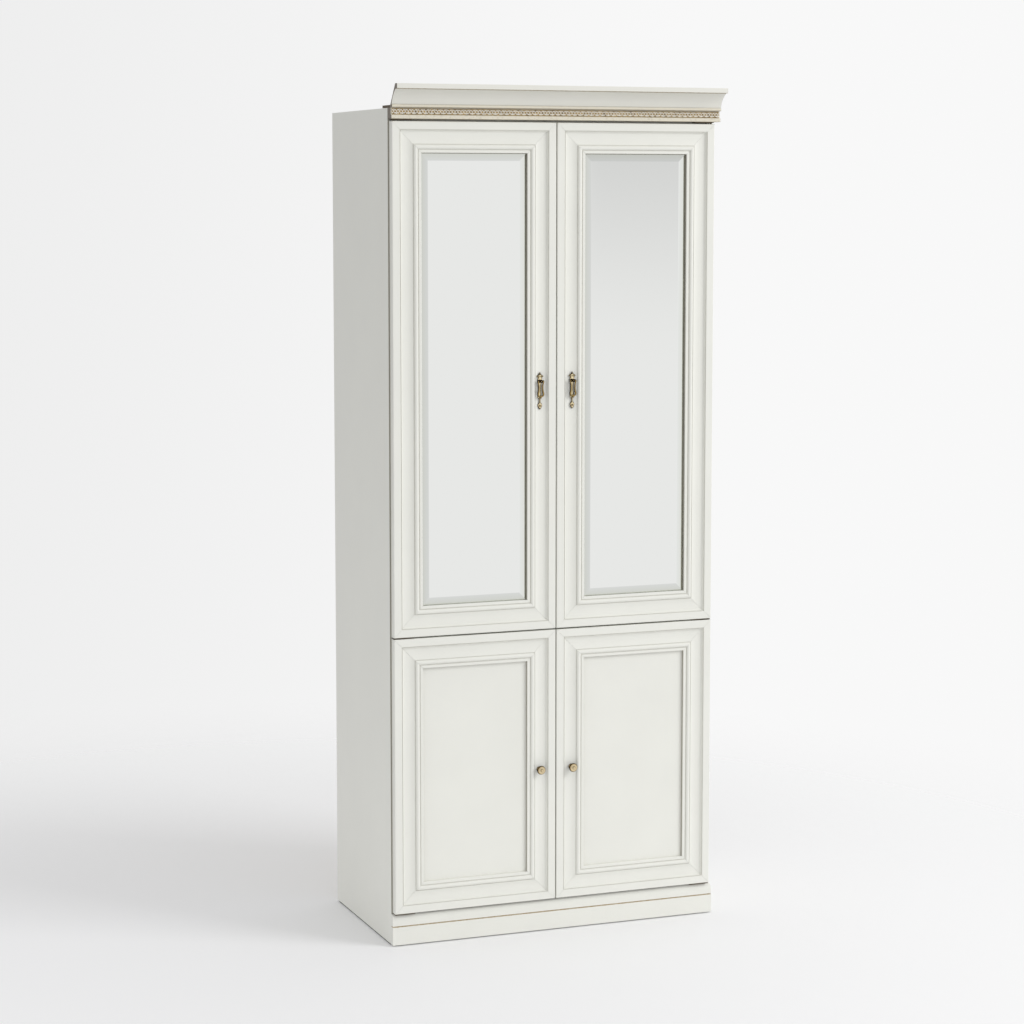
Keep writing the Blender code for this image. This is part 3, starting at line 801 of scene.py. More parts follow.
def turn(
    name: str, foot: Vector, axis: Axis, profile: Sequence[tuple[float, float]], sides: int = 32
) -> Object:
    """Turn a piece on a lathe: a disc is extruded and resized from station to station.

    Args:
        name: Name of the piece.
        foot: Where the profile starts, in metres.
        axis: Direction in which it grows.
        profile: Distance along the axis and radius, in millimetres.
        sides: How many sides the round has.

    Returns:
        The finished piece.
    """
    clear_selection()
    along = Vector(axis.value)
    (start, radius), rest = profile[0], profile[1:]
    bpy.ops.mesh.primitive_circle_add(
        vertices=sides, radius=radius * MM, fill_type="NGON", location=foot + along * start * MM,
        rotation=along.to_track_quat("Z", "Y").to_euler(),
    )
    obj = begin_edit()
    for distance, new_radius in rest:
        bpy.ops.mesh.extrude_region_move(TRANSFORM_OT_translate={"value": along * (distance - start) * MM})
        grow = new_radius / radius
        bpy.ops.transform.resize(value=(grow, grow, grow), center_override=foot + along * distance * MM)
        start, radius = distance, new_radius
    return settle(obj, name)


def sweep_level(
    name: str, path: Sequence[tuple[float, float, float]], centre: Vector, sides: int = 12
) -> Object:
    """Draw a round section along an upright path that faces forward.

    Args:
        name: Name of the piece.
        path: Across, up and radius of each station, in millimetres from the centre.
        centre: Middle of the path, in metres.
        sides: How many sides the section has.

    Returns:
        The finished piece.
    """
    clear_selection()
    places = [centre + Vector((x, 0.0, z)) * MM for x, z, _ in path]
    heading = (places[1] - places[0]).normalized()
    bpy.ops.mesh.primitive_circle_add(
        vertices=sides, radius=path[0][2] * MM, fill_type="NGON", location=places[0],
        rotation=heading.to_track_quat("Z", "Y").to_euler(),
    )
    obj = begin_edit()
    for index in range(1, len(places)):
        after = places[min(index + 1, len(places) - 1)]
        ahead = (after - places[index - 1]).normalized()
        bpy.ops.mesh.extrude_region_move(
            TRANSFORM_OT_translate={"value": places[index] - places[index - 1]}
        )
        bend = math.atan2(ahead.x, ahead.z) - math.atan2(heading.x, heading.z)
        bend = (bend + math.pi) % (2 * math.pi) - math.pi
        bpy.ops.transform.rotate(value=-bend, orient_axis="Y", center_override=places[index])
        grow = path[index][2] / path[index - 1][2]
        bpy.ops.transform.resize(value=(grow, grow, grow), center_override=places[index])
        heading = ahead
    return settle(obj, name, 50.0)


def block(name: str, low: Sequence[float], high: Sequence[float], edge: float) -> Object:
    """Make a block with eased edges between two corners.

    Args:
        name: Name of the piece.
        low: Lowest corner, in millimetres.
        high: Highest corner, in millimetres.
        edge: Width of the easing, in millimetres.

    Returns:
        The finished piece.
    """
    clear_selection()
    low, high = Vector(low), Vector(high)
    bpy.ops.mesh.primitive_cube_add(size=1.0, location=(low + high) / 2 * MM, scale=(high - low) * MM)
    obj = bpy.context.object
    bpy.ops.object.transform_apply(location=True, rotation=True, scale=True)
    begin_edit()
    bpy.ops.mesh.bevel(offset=edge * MM, segments=2, affect="EDGES")
    return settle(obj, name)


def copy_to(obj: Object, name: str, offset: Sequence[float]) -> Object:
    """Copy a finished piece, with its own mesh, and move the copy's mesh.

    Args:
        obj: The piece that is copied.
        name: Name of the copy.
        offset: How far it goes, in millimetres.

    Returns:
        The copy.
    """
    pick(obj)
    bpy.ops.object.duplicate_move(TRANSFORM_OT_translate={"value": Vector(offset) * MM})
    copy = bpy.context.object
    bpy.ops.object.transform_apply(location=True, rotation=True, scale=True)
    copy.name = copy.data.name = name
    copy.select_set(False)
    return copy


def join(pieces: Sequence[Object], name: str) -> Object:
    """Join pieces into the first of them and rename it.

    Args:
        pieces: The pieces, of which only the first is left.
        name: Its name from now on.

    Returns:
        The joined piece.
    """
    pick(*pieces)
    bpy.ops.object.join()
    pieces[0].name = pieces[0].data.name = name
    pieces[0].select_set(False)
    return pieces[0]


def fit(obj: Object, finish: Finish, body: str, replaces: Iterable[str] = ()) -> Object:
    """Finish a piece, hang it on its body and report it.

    Args:
        obj: The piece.
        finish: What it wears.
        body: The CAD body that it moves with.
        replaces: CAD nodes that it stands for.

    Returns:
        The same piece.
    """
    finish.paint(obj)
    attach(obj, body)
    for node in replaces:
        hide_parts(node)
    LOG.info("%s rides on %s, %d faces", obj.name, body, len(obj.data.polygons))
    return obj


def smooth_curve(points: Sequence[tuple[float, ...]], steps: int) -> list[tuple[float, ...]]:
    """Run a smooth curve through points.

    Args:
        points: The points, each with any number of values.
        steps: How many steps lie between two of them.

    Returns:
        The points of the curve, the given ones among them.
    """
    curve: list[tuple[float, ...]] = []
    for index in range(len(points) - 1):
        before, here = points[max(index - 1, 0)], points[index]
        there, after = points[index + 1], points[min(index + 2, len(points) - 1)]
        for step in range(steps):
            t = step / steps
            weights = (
                -0.5 * t + t * t - 0.5 * t**3, 1 - 2.5 * t * t + 1.5 * t**3,
                0.5 * t + 2 * t * t - 1.5 * t**3, -0.5 * t * t + 0.5 * t**3,
            )
            near = (before, here, there, after)
            curve.append(tuple(sum(w * p[i] for w, p in zip(weights, near)) for i in range(len(here))))
    curve.append(tuple(points[-1]))
    return curve


# ---------------------------------------------------------------- sub-assemblies


class Level(Enum):
    """Upper or lower tier of doors."""

    UPPER = "upper"
    LOWER = "lower"


class Hand(Enum):
    """Left or right door, as seen from the front."""

    LEFT = "left"
    RIGHT = "right"


@dataclass
class Carcass:
    """Side panels, floors, shelves, back, plinth and rail: the CAD shapes, dressed."""

    nodes: Mapping[str, Object]

    def dress(self) -> None:
        """Give every fixed CAD node its finish."""
        wearing: dict[Finish, tuple[str, ...]] = {
            SIDE_LACQUER: ("side_panel_left", "side_panel_right"),
            LACQUER: ("top_panel", "middle_panel", "bottom_panel", "hat_shelf", "lower_shelf"),
            PLINTH_LACQUER: ("plinth_board",), FRIEZE_LACQUER: ("frieze_board",),
            CROWN_LACQUER: ("cornice_crown",), BARE_BOARD: ("cornice_base",), HARDBOARD: ("back_panel",),
            CHROME: ("hanging_rail", "rail_socket_left", "rail_socket_right"),
            PLASTIC: ("floor_strip_left", "floor_strip_right"),
            BRONZED: tuple(
                f"{place}_hinge_leaf_{hand.value}" for place in ("top", "middle", "bottom") for hand in Hand
            ),
        }
        for finish, names in wearing.items():
            for name in names:
                finish.paint(self.nodes[name])
                LOG.info("%s wears %s", name, finish.name)


@dataclass
class CarvedStrip:
    """The gilt strip below the crown: two woven bands with a bead in every gap."""

    pitch: float = 15.9  # length of a repeat
    swing: float = 4.6  # how far a band goes above and below the middle
    band: float = 1.75  # radius of a band
    weave: float = 0.55  # how far one band passes in front of the other
    ground_depth: float = 0.4
    weld: float = 0.02  # how near the ends of two repeats are when they are welded
    steps: int = 12

    def build(self) -> Object:
        """Model one repeat, array it along the strip and lay it on its ground.

        Returns:
            The finished strip.
        """
        low, high = box_mm("carved_strip")
        count = round((high.x - low.x) / self.pitch)
        pitch = (high.x - low.x) / count
        middle = (low.z + high.z) / 2
        waves = [self.wave(low, middle, pitch, side) for side in (1.0, -1.0)]
        repeat = join([*waves, *self.beads(low, middle, pitch)], "carved_strip_repeat")
        add_modifier(
            repeat, "ARRAY", count=count, use_relative_offset=False, use_constant_offset=True,
            constant_offset_displace=(pitch * MM, 0.0, 0.0), use_merge_vertices=True,
            merge_threshold=self.weld * MM,
        )
        settle(repeat, "carved_strip_repeat", 60.0, close_ends=True)
        ground = block(
            "carved_strip_ground", (low.x, high.y - self.ground_depth, low.z), (high.x, high.y, high.z),
            0.25,
        )
        strip = join([repeat, ground], "carved_strip_gilt")
        return fit(strip, GILDING, "carcass", ["carved_strip"])

    def wave(self, low: Vector, middle: float, pitch: float, side: float) -> Object:
        """Draw one band over one repeat.

        Args:
            low: Lowest corner of the strip, in millimetres.
            middle: Height of the strip's middle.
            pitch: Length of a repeat.
            side: 1 for the band that starts high, -1 for its mirror image.

        Returns:
            The band, open at both ends.
        """
        clear_selection()
        places = []
        for step in range(self.steps + 1):
            angle = 2 * math.pi * step / self.steps
            depth = low.y + self.band + 0.1 - side * self.weave * math.sin(angle)
            height = middle + side * self.swing * math.cos(angle)
            places.append(Vector((low.x + pitch * step / self.steps, depth, height)))
        bpy.ops.mesh.primitive_circle_add(
            vertices=6, radius=self.band * MM, fill_type="NOTHING", location=places[0] * MM,
            rotation=(0.0, math.pi / 2, 0.0),
        )
        obj = begin_edit()
        for before, here in zip(places, places[1:]):
            bpy.ops.mesh.extrude_region_move(TRANSFORM_OT_translate={"value": (here - before) * MM})
        return settle(obj, "carved_strip_wave", 60.0)

    def beads(self, low: Vector, middle: float, pitch: float) -> list[Object]:
        """Turn the small upper bead and the larger lower one that fill the gaps of a repeat.

        Args:
            low: Lowest corner of the strip, in millimetres.
            middle: Height of the strip's middle.
            pitch: Length of a repeat.

        Returns:
            Both beads.
        """
        made = []
        for share, lift, radius in ((0.25, 5.4, 1.5), (0.75, -5.0, 2.1)):
            foot = Vector((low.x + pitch * share, low.y + 2.6, middle + lift)) * MM
            profile = ((0.0, radius), (1.2, radius * 0.9), (2.0, radius * 0.6), (2.4, radius * 0.15))
            made.append(turn("carved_strip_bead", foot, Axis.FORWARD, profile, 8))
        return made


@dataclass
class DropHandle:
    """Cast handle of an upper door: a shaped back plate and a bail that swings on its post."""

    hand: Hand
    thickness: float = 1.6
    dome: float = 1.0  # how far the plate's middle is raised
    dome_reach: float = 3.0  # half the width at which the dome reaches its full height
    HALF_OUTLINE: ClassVar[tuple[tuple[float, float], ...]] = (
        (23.8, 0.15), (21.2, 1.7), (18.6, 3.1), (16.8, 4.4), (15.6, 7.6), (13.6, 9.2), (11.4, 8.4),
        (9.6, 4.8), (6.6, 5.4), (2.5, 6.7), (-2.5, 6.2), (-7.0, 4.6), (-13.0, 4.4), (-24.0, 4.1),
        (-32.0, 4.5), (-38.0, 5.2), (-42.0, 6.7), (-44.4, 5.4), (-47.0, 2.7), (-52.4, 1.7), (-56.4, 2.2),
        (-59.4, 4.4), (-62.4, 5.7), (-66.6, 5.2), (-70.4, 3.7), (-73.2, 2.0), (-75.0, 0.15),
    )
    HALF_BAIL: ClassVar[tuple[tuple[float, float, float], ...]] = (
        (2.9, 0.0, 1.2), (4.4, 0.0, 1.25), (4.9, 0.0, 2.4), (5.9, -0.1, 3.2), (6.9, -0.7, 3.1),
        (7.4, -3.0, 2.2), (6.3, -7.0, 1.9), (5.5, -11.0, 2.0), (5.2, -16.0, 2.1), (5.3, -22.0, 2.2),
        (6.1, -28.0, 2.5), (7.3, -32.6, 2.7), (7.3, -36.0, 2.6), (5.4, -38.8, 2.1), (2.6, -40.2, 2.2),
        (0.9, -40.8, 2.5),
    )

    def build(self) -> None:
        """Model the plate with its ornaments, and the bail, and hang both."""
        door = f"upper_{self.hand.value}_door"
        low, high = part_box(f"{door}_handle_plate")
        bail_low, bail_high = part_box(f"{door}_handle_bail")
        seat = high.y / MM
        centre = Vector(((low.x + high.x) / 2 / MM, seat, high.z / MM - self.HALF_OUTLINE[0][0]))
        plate = join([self.plate(centre), *self.ornaments(centre)], f"{door}_cast_plate")
        fit(plate, BRASS, door, [f"{door}_handle_plate"])
        pin = Vector((centre.x * MM, (bail_low.y + bail_high.y) / 2, centre.z * MM))
        half = smooth_curve(self.HALF_BAIL, 3)
        path = [(-x, z, r) for x, z, r in half] + [(x, z, r) for x, z, r in reversed(half)]
        bail = sweep_level(f"{door}_cast_bail", path, pin, 14)
        fit(bail, DARK_BRASS, f"{self.hand.value}_bail", [f"{door}_handle_bail"])

    def plate(self, centre: Vector) -> Object:
        """Draw the plate as a strip, row by row, dome its face and give it thickness.

        Args:
            centre: Middle of the post's foot, in millimetres.

        Returns:
            The plate.
        """
        clear_selection()
        rows = smooth_curve(self.HALF_OUTLINE, 3)
        (z_low, w_low), (z_high, w_high) = rows[1], rows[0]
        bpy.ops.mesh.primitive_grid_add(
            x_subdivisions=4, y_subdivisions=1, size=1.0,
            location=(centre + Vector((0.0, -self.thickness, (z_low + z_high) / 2))) * MM,
            rotation=(math.pi / 2, 0.0, 0.0),
        )
        obj = begin_edit()
        self.shape_first_row(obj, (z_high - z_low) / 2, w_low, w_high)
        select_where(obj, lambda co: co.y < 0.0)
        bpy.ops.mesh.select_mode(type="EDGE")
        for (z_before, w_before), (z_next, w_next) in zip(rows[1:], rows[2:]):
            step = Vector((0.0, 0.0, z_next - z_before)) * MM
            bpy.ops.mesh.extrude_region_move(TRANSFORM_OT_translate={"value": step})
            grow = w_next / w_before
            row = (centre + Vector((0.0, -self.thickness, z_next))) * MM
            bpy.ops.transform.resize(value=(grow, 1.0, 1.0), center_override=row)
        self.raise_dome(obj)
        bpy.ops.mesh.select_mode(type="FACE")
        bpy.ops.mesh.select_all(action="SELECT")
        bpy.ops.mesh.extrude_region_move(
            TRANSFORM_OT_translate={"value": Vector((0.0, self.thickness, 0.0)) * MM}
        )
        bpy.ops.transform.resize(value=(1.0, 0.0, 1.0), center_override=centre * MM)
        return settle(obj, "plate", 40.0)

    def shape_first_row(self, obj: Object, half_height: float, w_low: float, w_high: float) -> None:
        """Resize the grid's two rows to the first two widths of the outline.

        Args:
            obj: The plate, in edit mode.
            half_height: Half the distance between the rows.
            w_low: Half the width of the lower row.
            w_high: Half the width of the upper row.
        """
        mesh = bmesh.from_edit_mesh(obj.data)
        for vertex in mesh.verts:
            width = w_high if vertex.co.y > 0 else w_low
            vertex.co.x *= 2 * width * MM
            vertex.co.y *= 2 * half_height * MM
        bmesh.update_edit_mesh(obj.data)

    def raise_dome(self, obj: Object) -> None:
        """Lift the middle columns of the strip towards the front.

        Args:
            obj: The plate, in edit mode.
        """
        mesh = bmesh.from_edit_mesh(obj.data)
        rows: dict[int, list[bmesh.types.BMVert]] = {}
        for vertex in mesh.verts:
            rows.setdefault(round(vertex.co.y / MM * 100), []).append(vertex)
        for row in rows.values():
            reach = max(abs(v.co.x) for v in row) or 1.0
            lift = self.dome * min(1.0, reach / (self.dome_reach * MM)) * MM
            for vertex in row:
                vertex.co.z += lift * (1 - (vertex.co.x / reach) ** 2)
        bmesh.update_edit_mesh(obj.data)

    def ornaments(self, centre: Vector) -> list[Object]:
        """Turn the post that carries the bail, the lobes of the trefoil and the bud at the foot.

        Args:
            centre: Middle of the post's foot, in millimetres.

        Returns:
            The turned pieces.
        """
        face = self.thickness
        post = (
            (0.2, 6.2), (1.9, 6.2), (2.3, 5.6), (2.6, 4.0), (3.4, 3.1), (5.2, 3.3), (7.5, 3.7), (9.4, 3.3),
            (10.2, 3.2), (10.9, 4.0), (11.5, 4.4), (12.2, 4.3), (12.5, 3.7), (12.3, 3.1), (12.6, 2.4),
            (13.2, 1.6), (13.5, 0.8), (13.6, 0.1),
        )
        made = [turn("post", centre * MM, Axis.FORWARD, post, 24)]
        lobes = (
            (-5.7, 13.0, 3.0), (5.7, 13.0, 3.0), (0.0, 18.3, 2.5), (0.0, 12.0, 1.8), (0.0, -65.2, 3.2),
            (0.0, -44.0, 2.2),
        )
        for x, z, radius in lobes:
            foot = (centre + Vector((x, -face - 0.15, z))) * MM
            dome = (
                (0.0, radius), (1.0, radius), (0.75, radius * 0.8), (0.75, radius * 0.62),
                (1.7, radius * 0.5), (2.1, radius * 0.3), (2.25, radius * 0.04),
            )
            made.append(turn("lobe", foot, Axis.FORWARD, dome, 16))
        return made


@dataclass
class TurnedKnob:
    """Turned brass knob of a lower door, with a grooved head and a small button."""

    hand: Hand
    PROFILE: ClassVar[tuple[tuple[float, float], ...]] = (
        (0.0, 7.4), (0.9, 7.4), (1.5, 7.0), (2.2, 5.8), (3.4, 4.8), (5.2, 4.4), (7.4, 4.4), (9.0, 5.2),
        (10.4, 7.0), (11.8, 9.4), (13.2, 11.0), (14.6, 11.7), (16.0, 11.8), (17.4, 11.4), (18.7, 10.5),
        (19.5, 9.5), (19.3, 9.0), (19.6, 8.5), (20.6, 7.2), (21.2, 5.8), (21.4, 4.8), (21.2, 4.3),
        (21.6, 3.9), (22.4, 3.4), (23.0, 2.4), (23.3, 1.2), (23.4, 0.1),
    )

    def build(self) -> None:
        """Turn the knob on the CAD knob's axis."""
        door = f"lower_{self.hand.value}_door"
        low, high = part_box(f"{door}_knob")
        foot = Vector(((low.x + high.x) / 2, high.y, (low.z + high.z) / 2))
        knob = turn(f"{door}_turned_knob", foot, Axis.FORWARD, self.PROFILE, 40)
        fit(knob, KNOB_BRASS, door, [f"{door}_knob"])


@dataclass
class FramedDoor:
    """One door: the CAD frame and infill dressed, with a grey tape that paints the rebate's shade, beads,
    bumpers and a catch plate added.
    """

    nodes: Mapping[str, Object]
    level: Level
    hand: Hand
    bead_width: float = 8.0
    bead_depth: float = 3.4
    frame_width: float = 80.5  # from the door's edge to the rebate
    tape_thickness: float = 0.4
    tape_depth: float = 5.4
    bumper_inset: float = 9.0
    bumper_lift: float = 6.0
    catch_near: float = 20.0  # from the stile's outer edge to the catch plate's near end
    catch_far: float = 44.0
    catch_height: float = 12.0
    upper_catch_drop: float = 12.5  # from the stile's top to the catch plate's
    lower_catch_drop: float = 1.6

    @property
    def body(self) -> str:
        """Name of the door's body, which also starts its nodes' names."""
        return f"{self.level.value}_{self.hand.value}_door"

    def dress(self) -> None:
        """Give the door's CAD nodes their finishes."""
        for part in ("hinge_stile", "meeting_stile", "top_rail", "bottom_rail"):
            LACQUER.paint(self.nodes[f"{self.body}_{part}"])
        for part in ("top_leaf", "bottom_leaf"):
            BRONZED.paint(self.nodes[f"{self.body}_{part}"])
        if self.level is Level.UPPER:
            MIRROR.paint(self.nodes[f"{self.body}_mirror"])
            HARDBOARD.paint(self.nodes[f"{self.body}_mirror_back"])
        else:
            LACQUER.paint(self.nodes[f"{self.body}_panel"])
        LOG.info("%s is dressed", self.body)

    def build(self) -> None:
        """Add the grey tape that paints the rebate's shade, and the pieces that are only seen when the door
        stands open.
        """
        self.rebate_shade_tape()
        self.retaining_beads()
        self.bumpers()
        self.catch_plate()

    def rebate_shade_tape(self) -> None:
        """Line the rebate in front of the infill with grey tape, a grey sheet put where the rebate's walls
        lie in shade; its foot is let into the rail.
        """
        stiles = ["hinge_stile", "meeting_stile"]
        if self.hand is Hand.RIGHT:
            stiles.reverse()
        inner, _ = box_mm(f"{self.body}_{stiles[0]}")
        _, far = box_mm(f"{self.body}_{stiles[1]}")
        _, bottom = box_mm(f"{self.body}_bottom_rail")
        top, _ = box_mm(f"{self.body}_top_rail")
        infill, _ = box_mm(f"{self.body}_{'mirror' if self.level is Level.UPPER else 'panel'}")
        gap = 0.05  # keeps the tape's faces off the frame's and the infill's
        low = Vector(
            (inner.x + self.frame_width + gap, infill.y - gap, bottom.z - self.tape_thickness - 0.1)
        )
        high = Vector((far.x - self.frame_width - gap, infill.y - self.tape_depth, top.z - gap))
        # Painted shade: grey tape lining the rebate.
        self.open_frame(f"{self.body}_rebate_shade_tape", low, high, self.tape_thickness, 0.0, SHADE_TAPE)

    def open_frame(
        self, name: str, low: Vector, high: Vector, width: float, edge: float, finish: Finish
    ) -> None:
        """Make a rectangular frame: a plate is inset, its middle cut out and the rest drawn out.

        Args:
            name: Name of the piece.
            low: Lower left corner in millimetres, on the plane that it starts from.
            high: Upper right corner, on the plane that it is drawn to.
            width: Width of the frame's members.
            edge: Width of the eased edges, or 0.
            finish: What it wears.
        """
        clear_selection()
        centre = Vector(((low.x + high.x) / 2, low.y, (low.z + high.z) / 2))
        bpy.ops.mesh.primitive_plane_add(size=1.0, location=centre * MM, rotation=(math.pi / 2, 0.0, 0.0))
        obj = bpy.context.object
        obj.scale = ((high.x - low.x) * MM, (high.z - low.z) * MM, 1.0)
        bpy.ops.object.transform_apply(location=True, rotation=True, scale=True)
        begin_edit()
        bpy.ops.mesh.select_mode(type="FACE")
        bpy.ops.mesh.inset(thickness=width * MM, depth=0.0)
        bpy.ops.mesh.delete(type="FACE")
        bpy.ops.mesh.select_all(action="SELECT")
        bpy.ops.mesh.extrude_region_move(
            TRANSFORM_OT_translate={"value": Vector((0.0, high.y - low.y, 0.0)) * MM}
        )
        bpy.ops.object.mode_set(mode="OBJECT")
        if edge:
            add_modifier(obj, "BEVEL", width=edge * MM, segments=2, limit_method="ANGLE")
        fit(settle(obj, name), finish, self.body)

    def retaining_beads(self) -> None:
        """Frame the infill from behind with a mitred bead, cut from a plate by an inset."""
        infill = "mirror_back" if self.level is Level.UPPER else "panel"
        low, high = box_mm(f"{self.body}_{infill}")
        gap, back = 0.2, high.y + 0.15
        near = Vector((low.x + gap, back, low.z + gap))
        far = Vector((high.x - gap, back + self.bead_depth, high.z - gap))
        name = f"{self.body}_retaining_bead"
        self.open_frame(name, near, far, self.bead_width, 0.8, LACQUER)

    def bumpers(self) -> None:
        """Stick two soft domes on the back of the meeting stile, top and bottom."""
        low, high = box_mm(f"{self.body}_meeting_stile")
        inner = low.x + self.bumper_inset if self.hand is Hand.RIGHT else high.x - self.bumper_inset
        dome = ((0.0, 3.6), (0.9, 3.4), (1.3, 2.6), (1.5, 1.2), (1.55, 0.1))
        foot = Vector((inner, high.y, low.z + self.bumper_lift)) * MM
        first = turn(f"{self.body}_bumper_1", foot, Axis.BACK, dome, 20)
        rise = high.z - low.z - 2 * self.bumper_lift
        second = copy_to(first, f"{self.body}_bumper_2", (0.0, 0.0, rise))
        for piece in (first, second):
            fit(piece, CLEAR_PLASTIC, self.body)

    def catch_plate(self) -> None:
        """Screw a small steel plate behind the meeting stile, where the catch's magnet meets it."""
        low, high = box_mm(f"{self.body}_meeting_stile")
        near, far = low.x + self.catch_near, low.x + self.catch_far
        if self.hand is Hand.LEFT:
            near, far = high.x - self.catch_far, high.x - self.catch_near
        top = high.z - (self.upper_catch_drop if self.level is Level.UPPER else self.lower_catch_drop)
        plate = block(
            f"{self.body}_catch_plate", (near, high.y, top - self.catch_height), (far, high.y + 1.0, top),
            0.3,
        )
        head = ((0.0, 2.6), (0.35, 2.4), (0.6, 1.4), (0.65, 0.1))
        foot = Vector(((near + far) / 2, high.y + 1.0, top - self.catch_height / 2)) * MM
        screw = turn(f"{self.body}_catch_screw", foot, Axis.BACK, head, 16)
        fit(join([plate, screw], f"{self.body}_catch_plate"), STEEL, self.body)


@dataclass
class InteriorFittings:
    """Door-stop lath, a dark felt strip that paints the shade under the doors, shelf pins, magnetic
    catches, rail screws and the nails of the back.
    """

    pin_inset: float = 60.0
    nail_spacing: float = 145.0
    nail_inset: float = 9.0
    catch_half: float = 46.0  # half the length of a catch's case
    magnet_offset: float = 33.5  # from the middle of the case to the middle of a magnet
    magnet_half: float = 10.0
    lath_drop: float = 26.0
    lath_depth: float = 12.0
    felt: float = 2.3  # height of the felt strip that paints the gap's shade
    flange_thickness: float = 3.5  # of a rail socket
    screw_rise: float = 17.7  # from the socket's middle to a screw

    def build(self) -> None:
        """Fit the carcass with its ironmongery."""
        self.stop_lath()
        self.shade_felt_strip()
        self.shelf_pins()
        self.catches()
        self.rail_screws()
        self.nails()

    def stop_lath(self) -> None:
        """Glue a lath under the top, behind the gap above the doors."""
        low, high = box_mm("top_panel")
        lath = block(
            "door_stop_lath", (low.x + 0.3, low.y + 0.6, low.z - self.lath_drop),
            (high.x - 0.3, low.y + 0.6 + self.lath_depth, low.z - 0.1), 0.8,
        )
        fit(lath, LACQUER, "carcass")

    def shade_felt_strip(self) -> None:
        """Stick a dark felt strip on the plinth's top, in the gap below the doors, as painted shade of that
        gap.
        """
        low, high = box_mm("plinth_board")
        _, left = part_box("bottom_hinge_leaf_left")
        right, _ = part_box("bottom_hinge_leaf_right")
        strip = block(
            "sill_shade_felt_strip", (left.x / MM + 1.0, low.y + 0.4, high.z + 0.05),
            (right.x / MM - 1.0, high.y - 0.4, high.z + self.felt), 0.4,
        )
        fit(strip, SHADE_FELT, "carcass")

    def shelf_pins(self) -> None:
        """Put four spoon-headed pins under each loose shelf."""
        profile = ((0.0, 4.2), (0.8, 4.2), (1.2, 3.6), (1.4, 2.5), (7.6, 2.5), (8.0, 2.1), (8.1, 0.1))
        for shelf in ("hat_shelf", "lower_shelf"):
            low, high = box_mm(shelf)
            height = low.z - 2.8
            for hand, axis, x in (
                (Hand.LEFT, Axis.RIGHT, low.x - 0.25), (Hand.RIGHT, Axis.LEFT, high.x + 0.25)
            ):
                foot = Vector((x, low.y + self.pin_inset, height - 1.6)) * MM
                front = turn(f"{shelf}_pin_{hand.value}_1", foot, axis, profile, 16)
                back = copy_to(
                    front, f"{shelf}_pin_{hand.value}_2", (0.0, high.y - low.y - 2 * self.pin_inset, 0.0)
                )
                for pin in (front, back):
                    fit(pin, STEEL, "carcass")

    def catches(self) -> None:
        """Hang a double magnetic catch behind each pair of doors."""
        for level, ceiling, lath, drop in (
            (Level.UPPER, "top_panel", self.lath_drop, 13.0), (Level.LOWER, "middle_panel", 0.0, 10.5)
        ):
            low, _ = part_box(ceiling)
            left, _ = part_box(f"{level.value}_right_door_meeting_stile")
            _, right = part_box(f"{level.value}_left_door_meeting_stile")
            middle = (left.x + right.x) / 2 / MM
            low = low / MM - Vector((0.0, 0.0, lath))
            case = block(
                f"{level.value}_catch_case", (middle - self.catch_half, low.y + 1.4, low.z - drop),
                (middle + self.catch_half, low.y + 15.4, low.z - 0.2), 1.0,
            )
            fit(case, CLEAR_PLASTIC, "carcass")
            for side in (-1.0, 1.0):
                centre = middle + side * self.magnet_offset
                magnet = block(
                    f"{level.value}_catch_magnet_{'left' if side < 0 else 'right'}",
                    (centre - self.magnet_half, low.y + 0.2, low.z - drop + 1.6),
                    (centre + self.magnet_half, low.y + 3.0, low.z - drop + 7.6), 0.4,
                )
                fit(magnet, STEEL, "carcass")

    def rail_screws(self) -> None:
        """Drive two small pan-head screws into the flange of each socket of the hanging rail."""
        head = ((0.0, 1.9), (0.6, 1.8), (1.1, 1.3), (1.25, 0.7), (0.8, 0.6), (0.8, 0.1))
        for hand, axis in ((Hand.LEFT, Axis.RIGHT), (Hand.RIGHT, Axis.LEFT)):
            low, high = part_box(f"rail_socket_{hand.value}")
            wall = low.x if hand is Hand.LEFT else high.x
            seat = wall + axis.value[0] * self.flange_thickness * MM
            for number, lift in ((1, self.screw_rise), (2, -self.screw_rise)):
                foot = Vector((seat, (low.y + high.y) / 2, (low.z + high.z) / 2 + lift * MM))
                screw = turn(f"rail_screw_{hand.value}_{number}", foot, axis, head, 16)
                fit(screw, STEEL, "carcass")

    def nails(self) -> None:
        """Nail the back all round: one nail is made and the rest are copied."""
        low, high = box_mm("back_panel")
        across = self.spread(low.x + self.nail_inset, high.x - self.nail_inset)
        upright = self.spread(low.z + self.nail_inset, high.z - self.nail_inset)
        places = [(x, z) for z in (upright[0], upright[-1]) for x in across]
        places += [(x, z) for x in (across[0], across[-1]) for z in upright[1:-1]]
        head = ((0.0, 2.4), (0.4, 2.2), (0.7, 1.3), (0.75, 0.1))
        x_first, z_first = places[0]
        first = turn("nail", Vector((x_first, high.y, z_first)) * MM, Axis.BACK, head, 8)
        others = [copy_to(first, "nail", (x - x_first, 0.0, z - z_first)) for x, z in places[1:]]
        fit(join([first, *others], "back_panel_nails"), STEEL, "carcass")

    def spread(self, start: float, end: float) -> list[float]:
        """Return evenly spaced places from one end to the other, about a nail spacing apart."""
        count = max(2, round((end - start) / self.nail_spacing) + 1)
        return [start + (end - start) * i / (count - 1) for i in range(count)]


# ---------------------------------------------------------------- studio


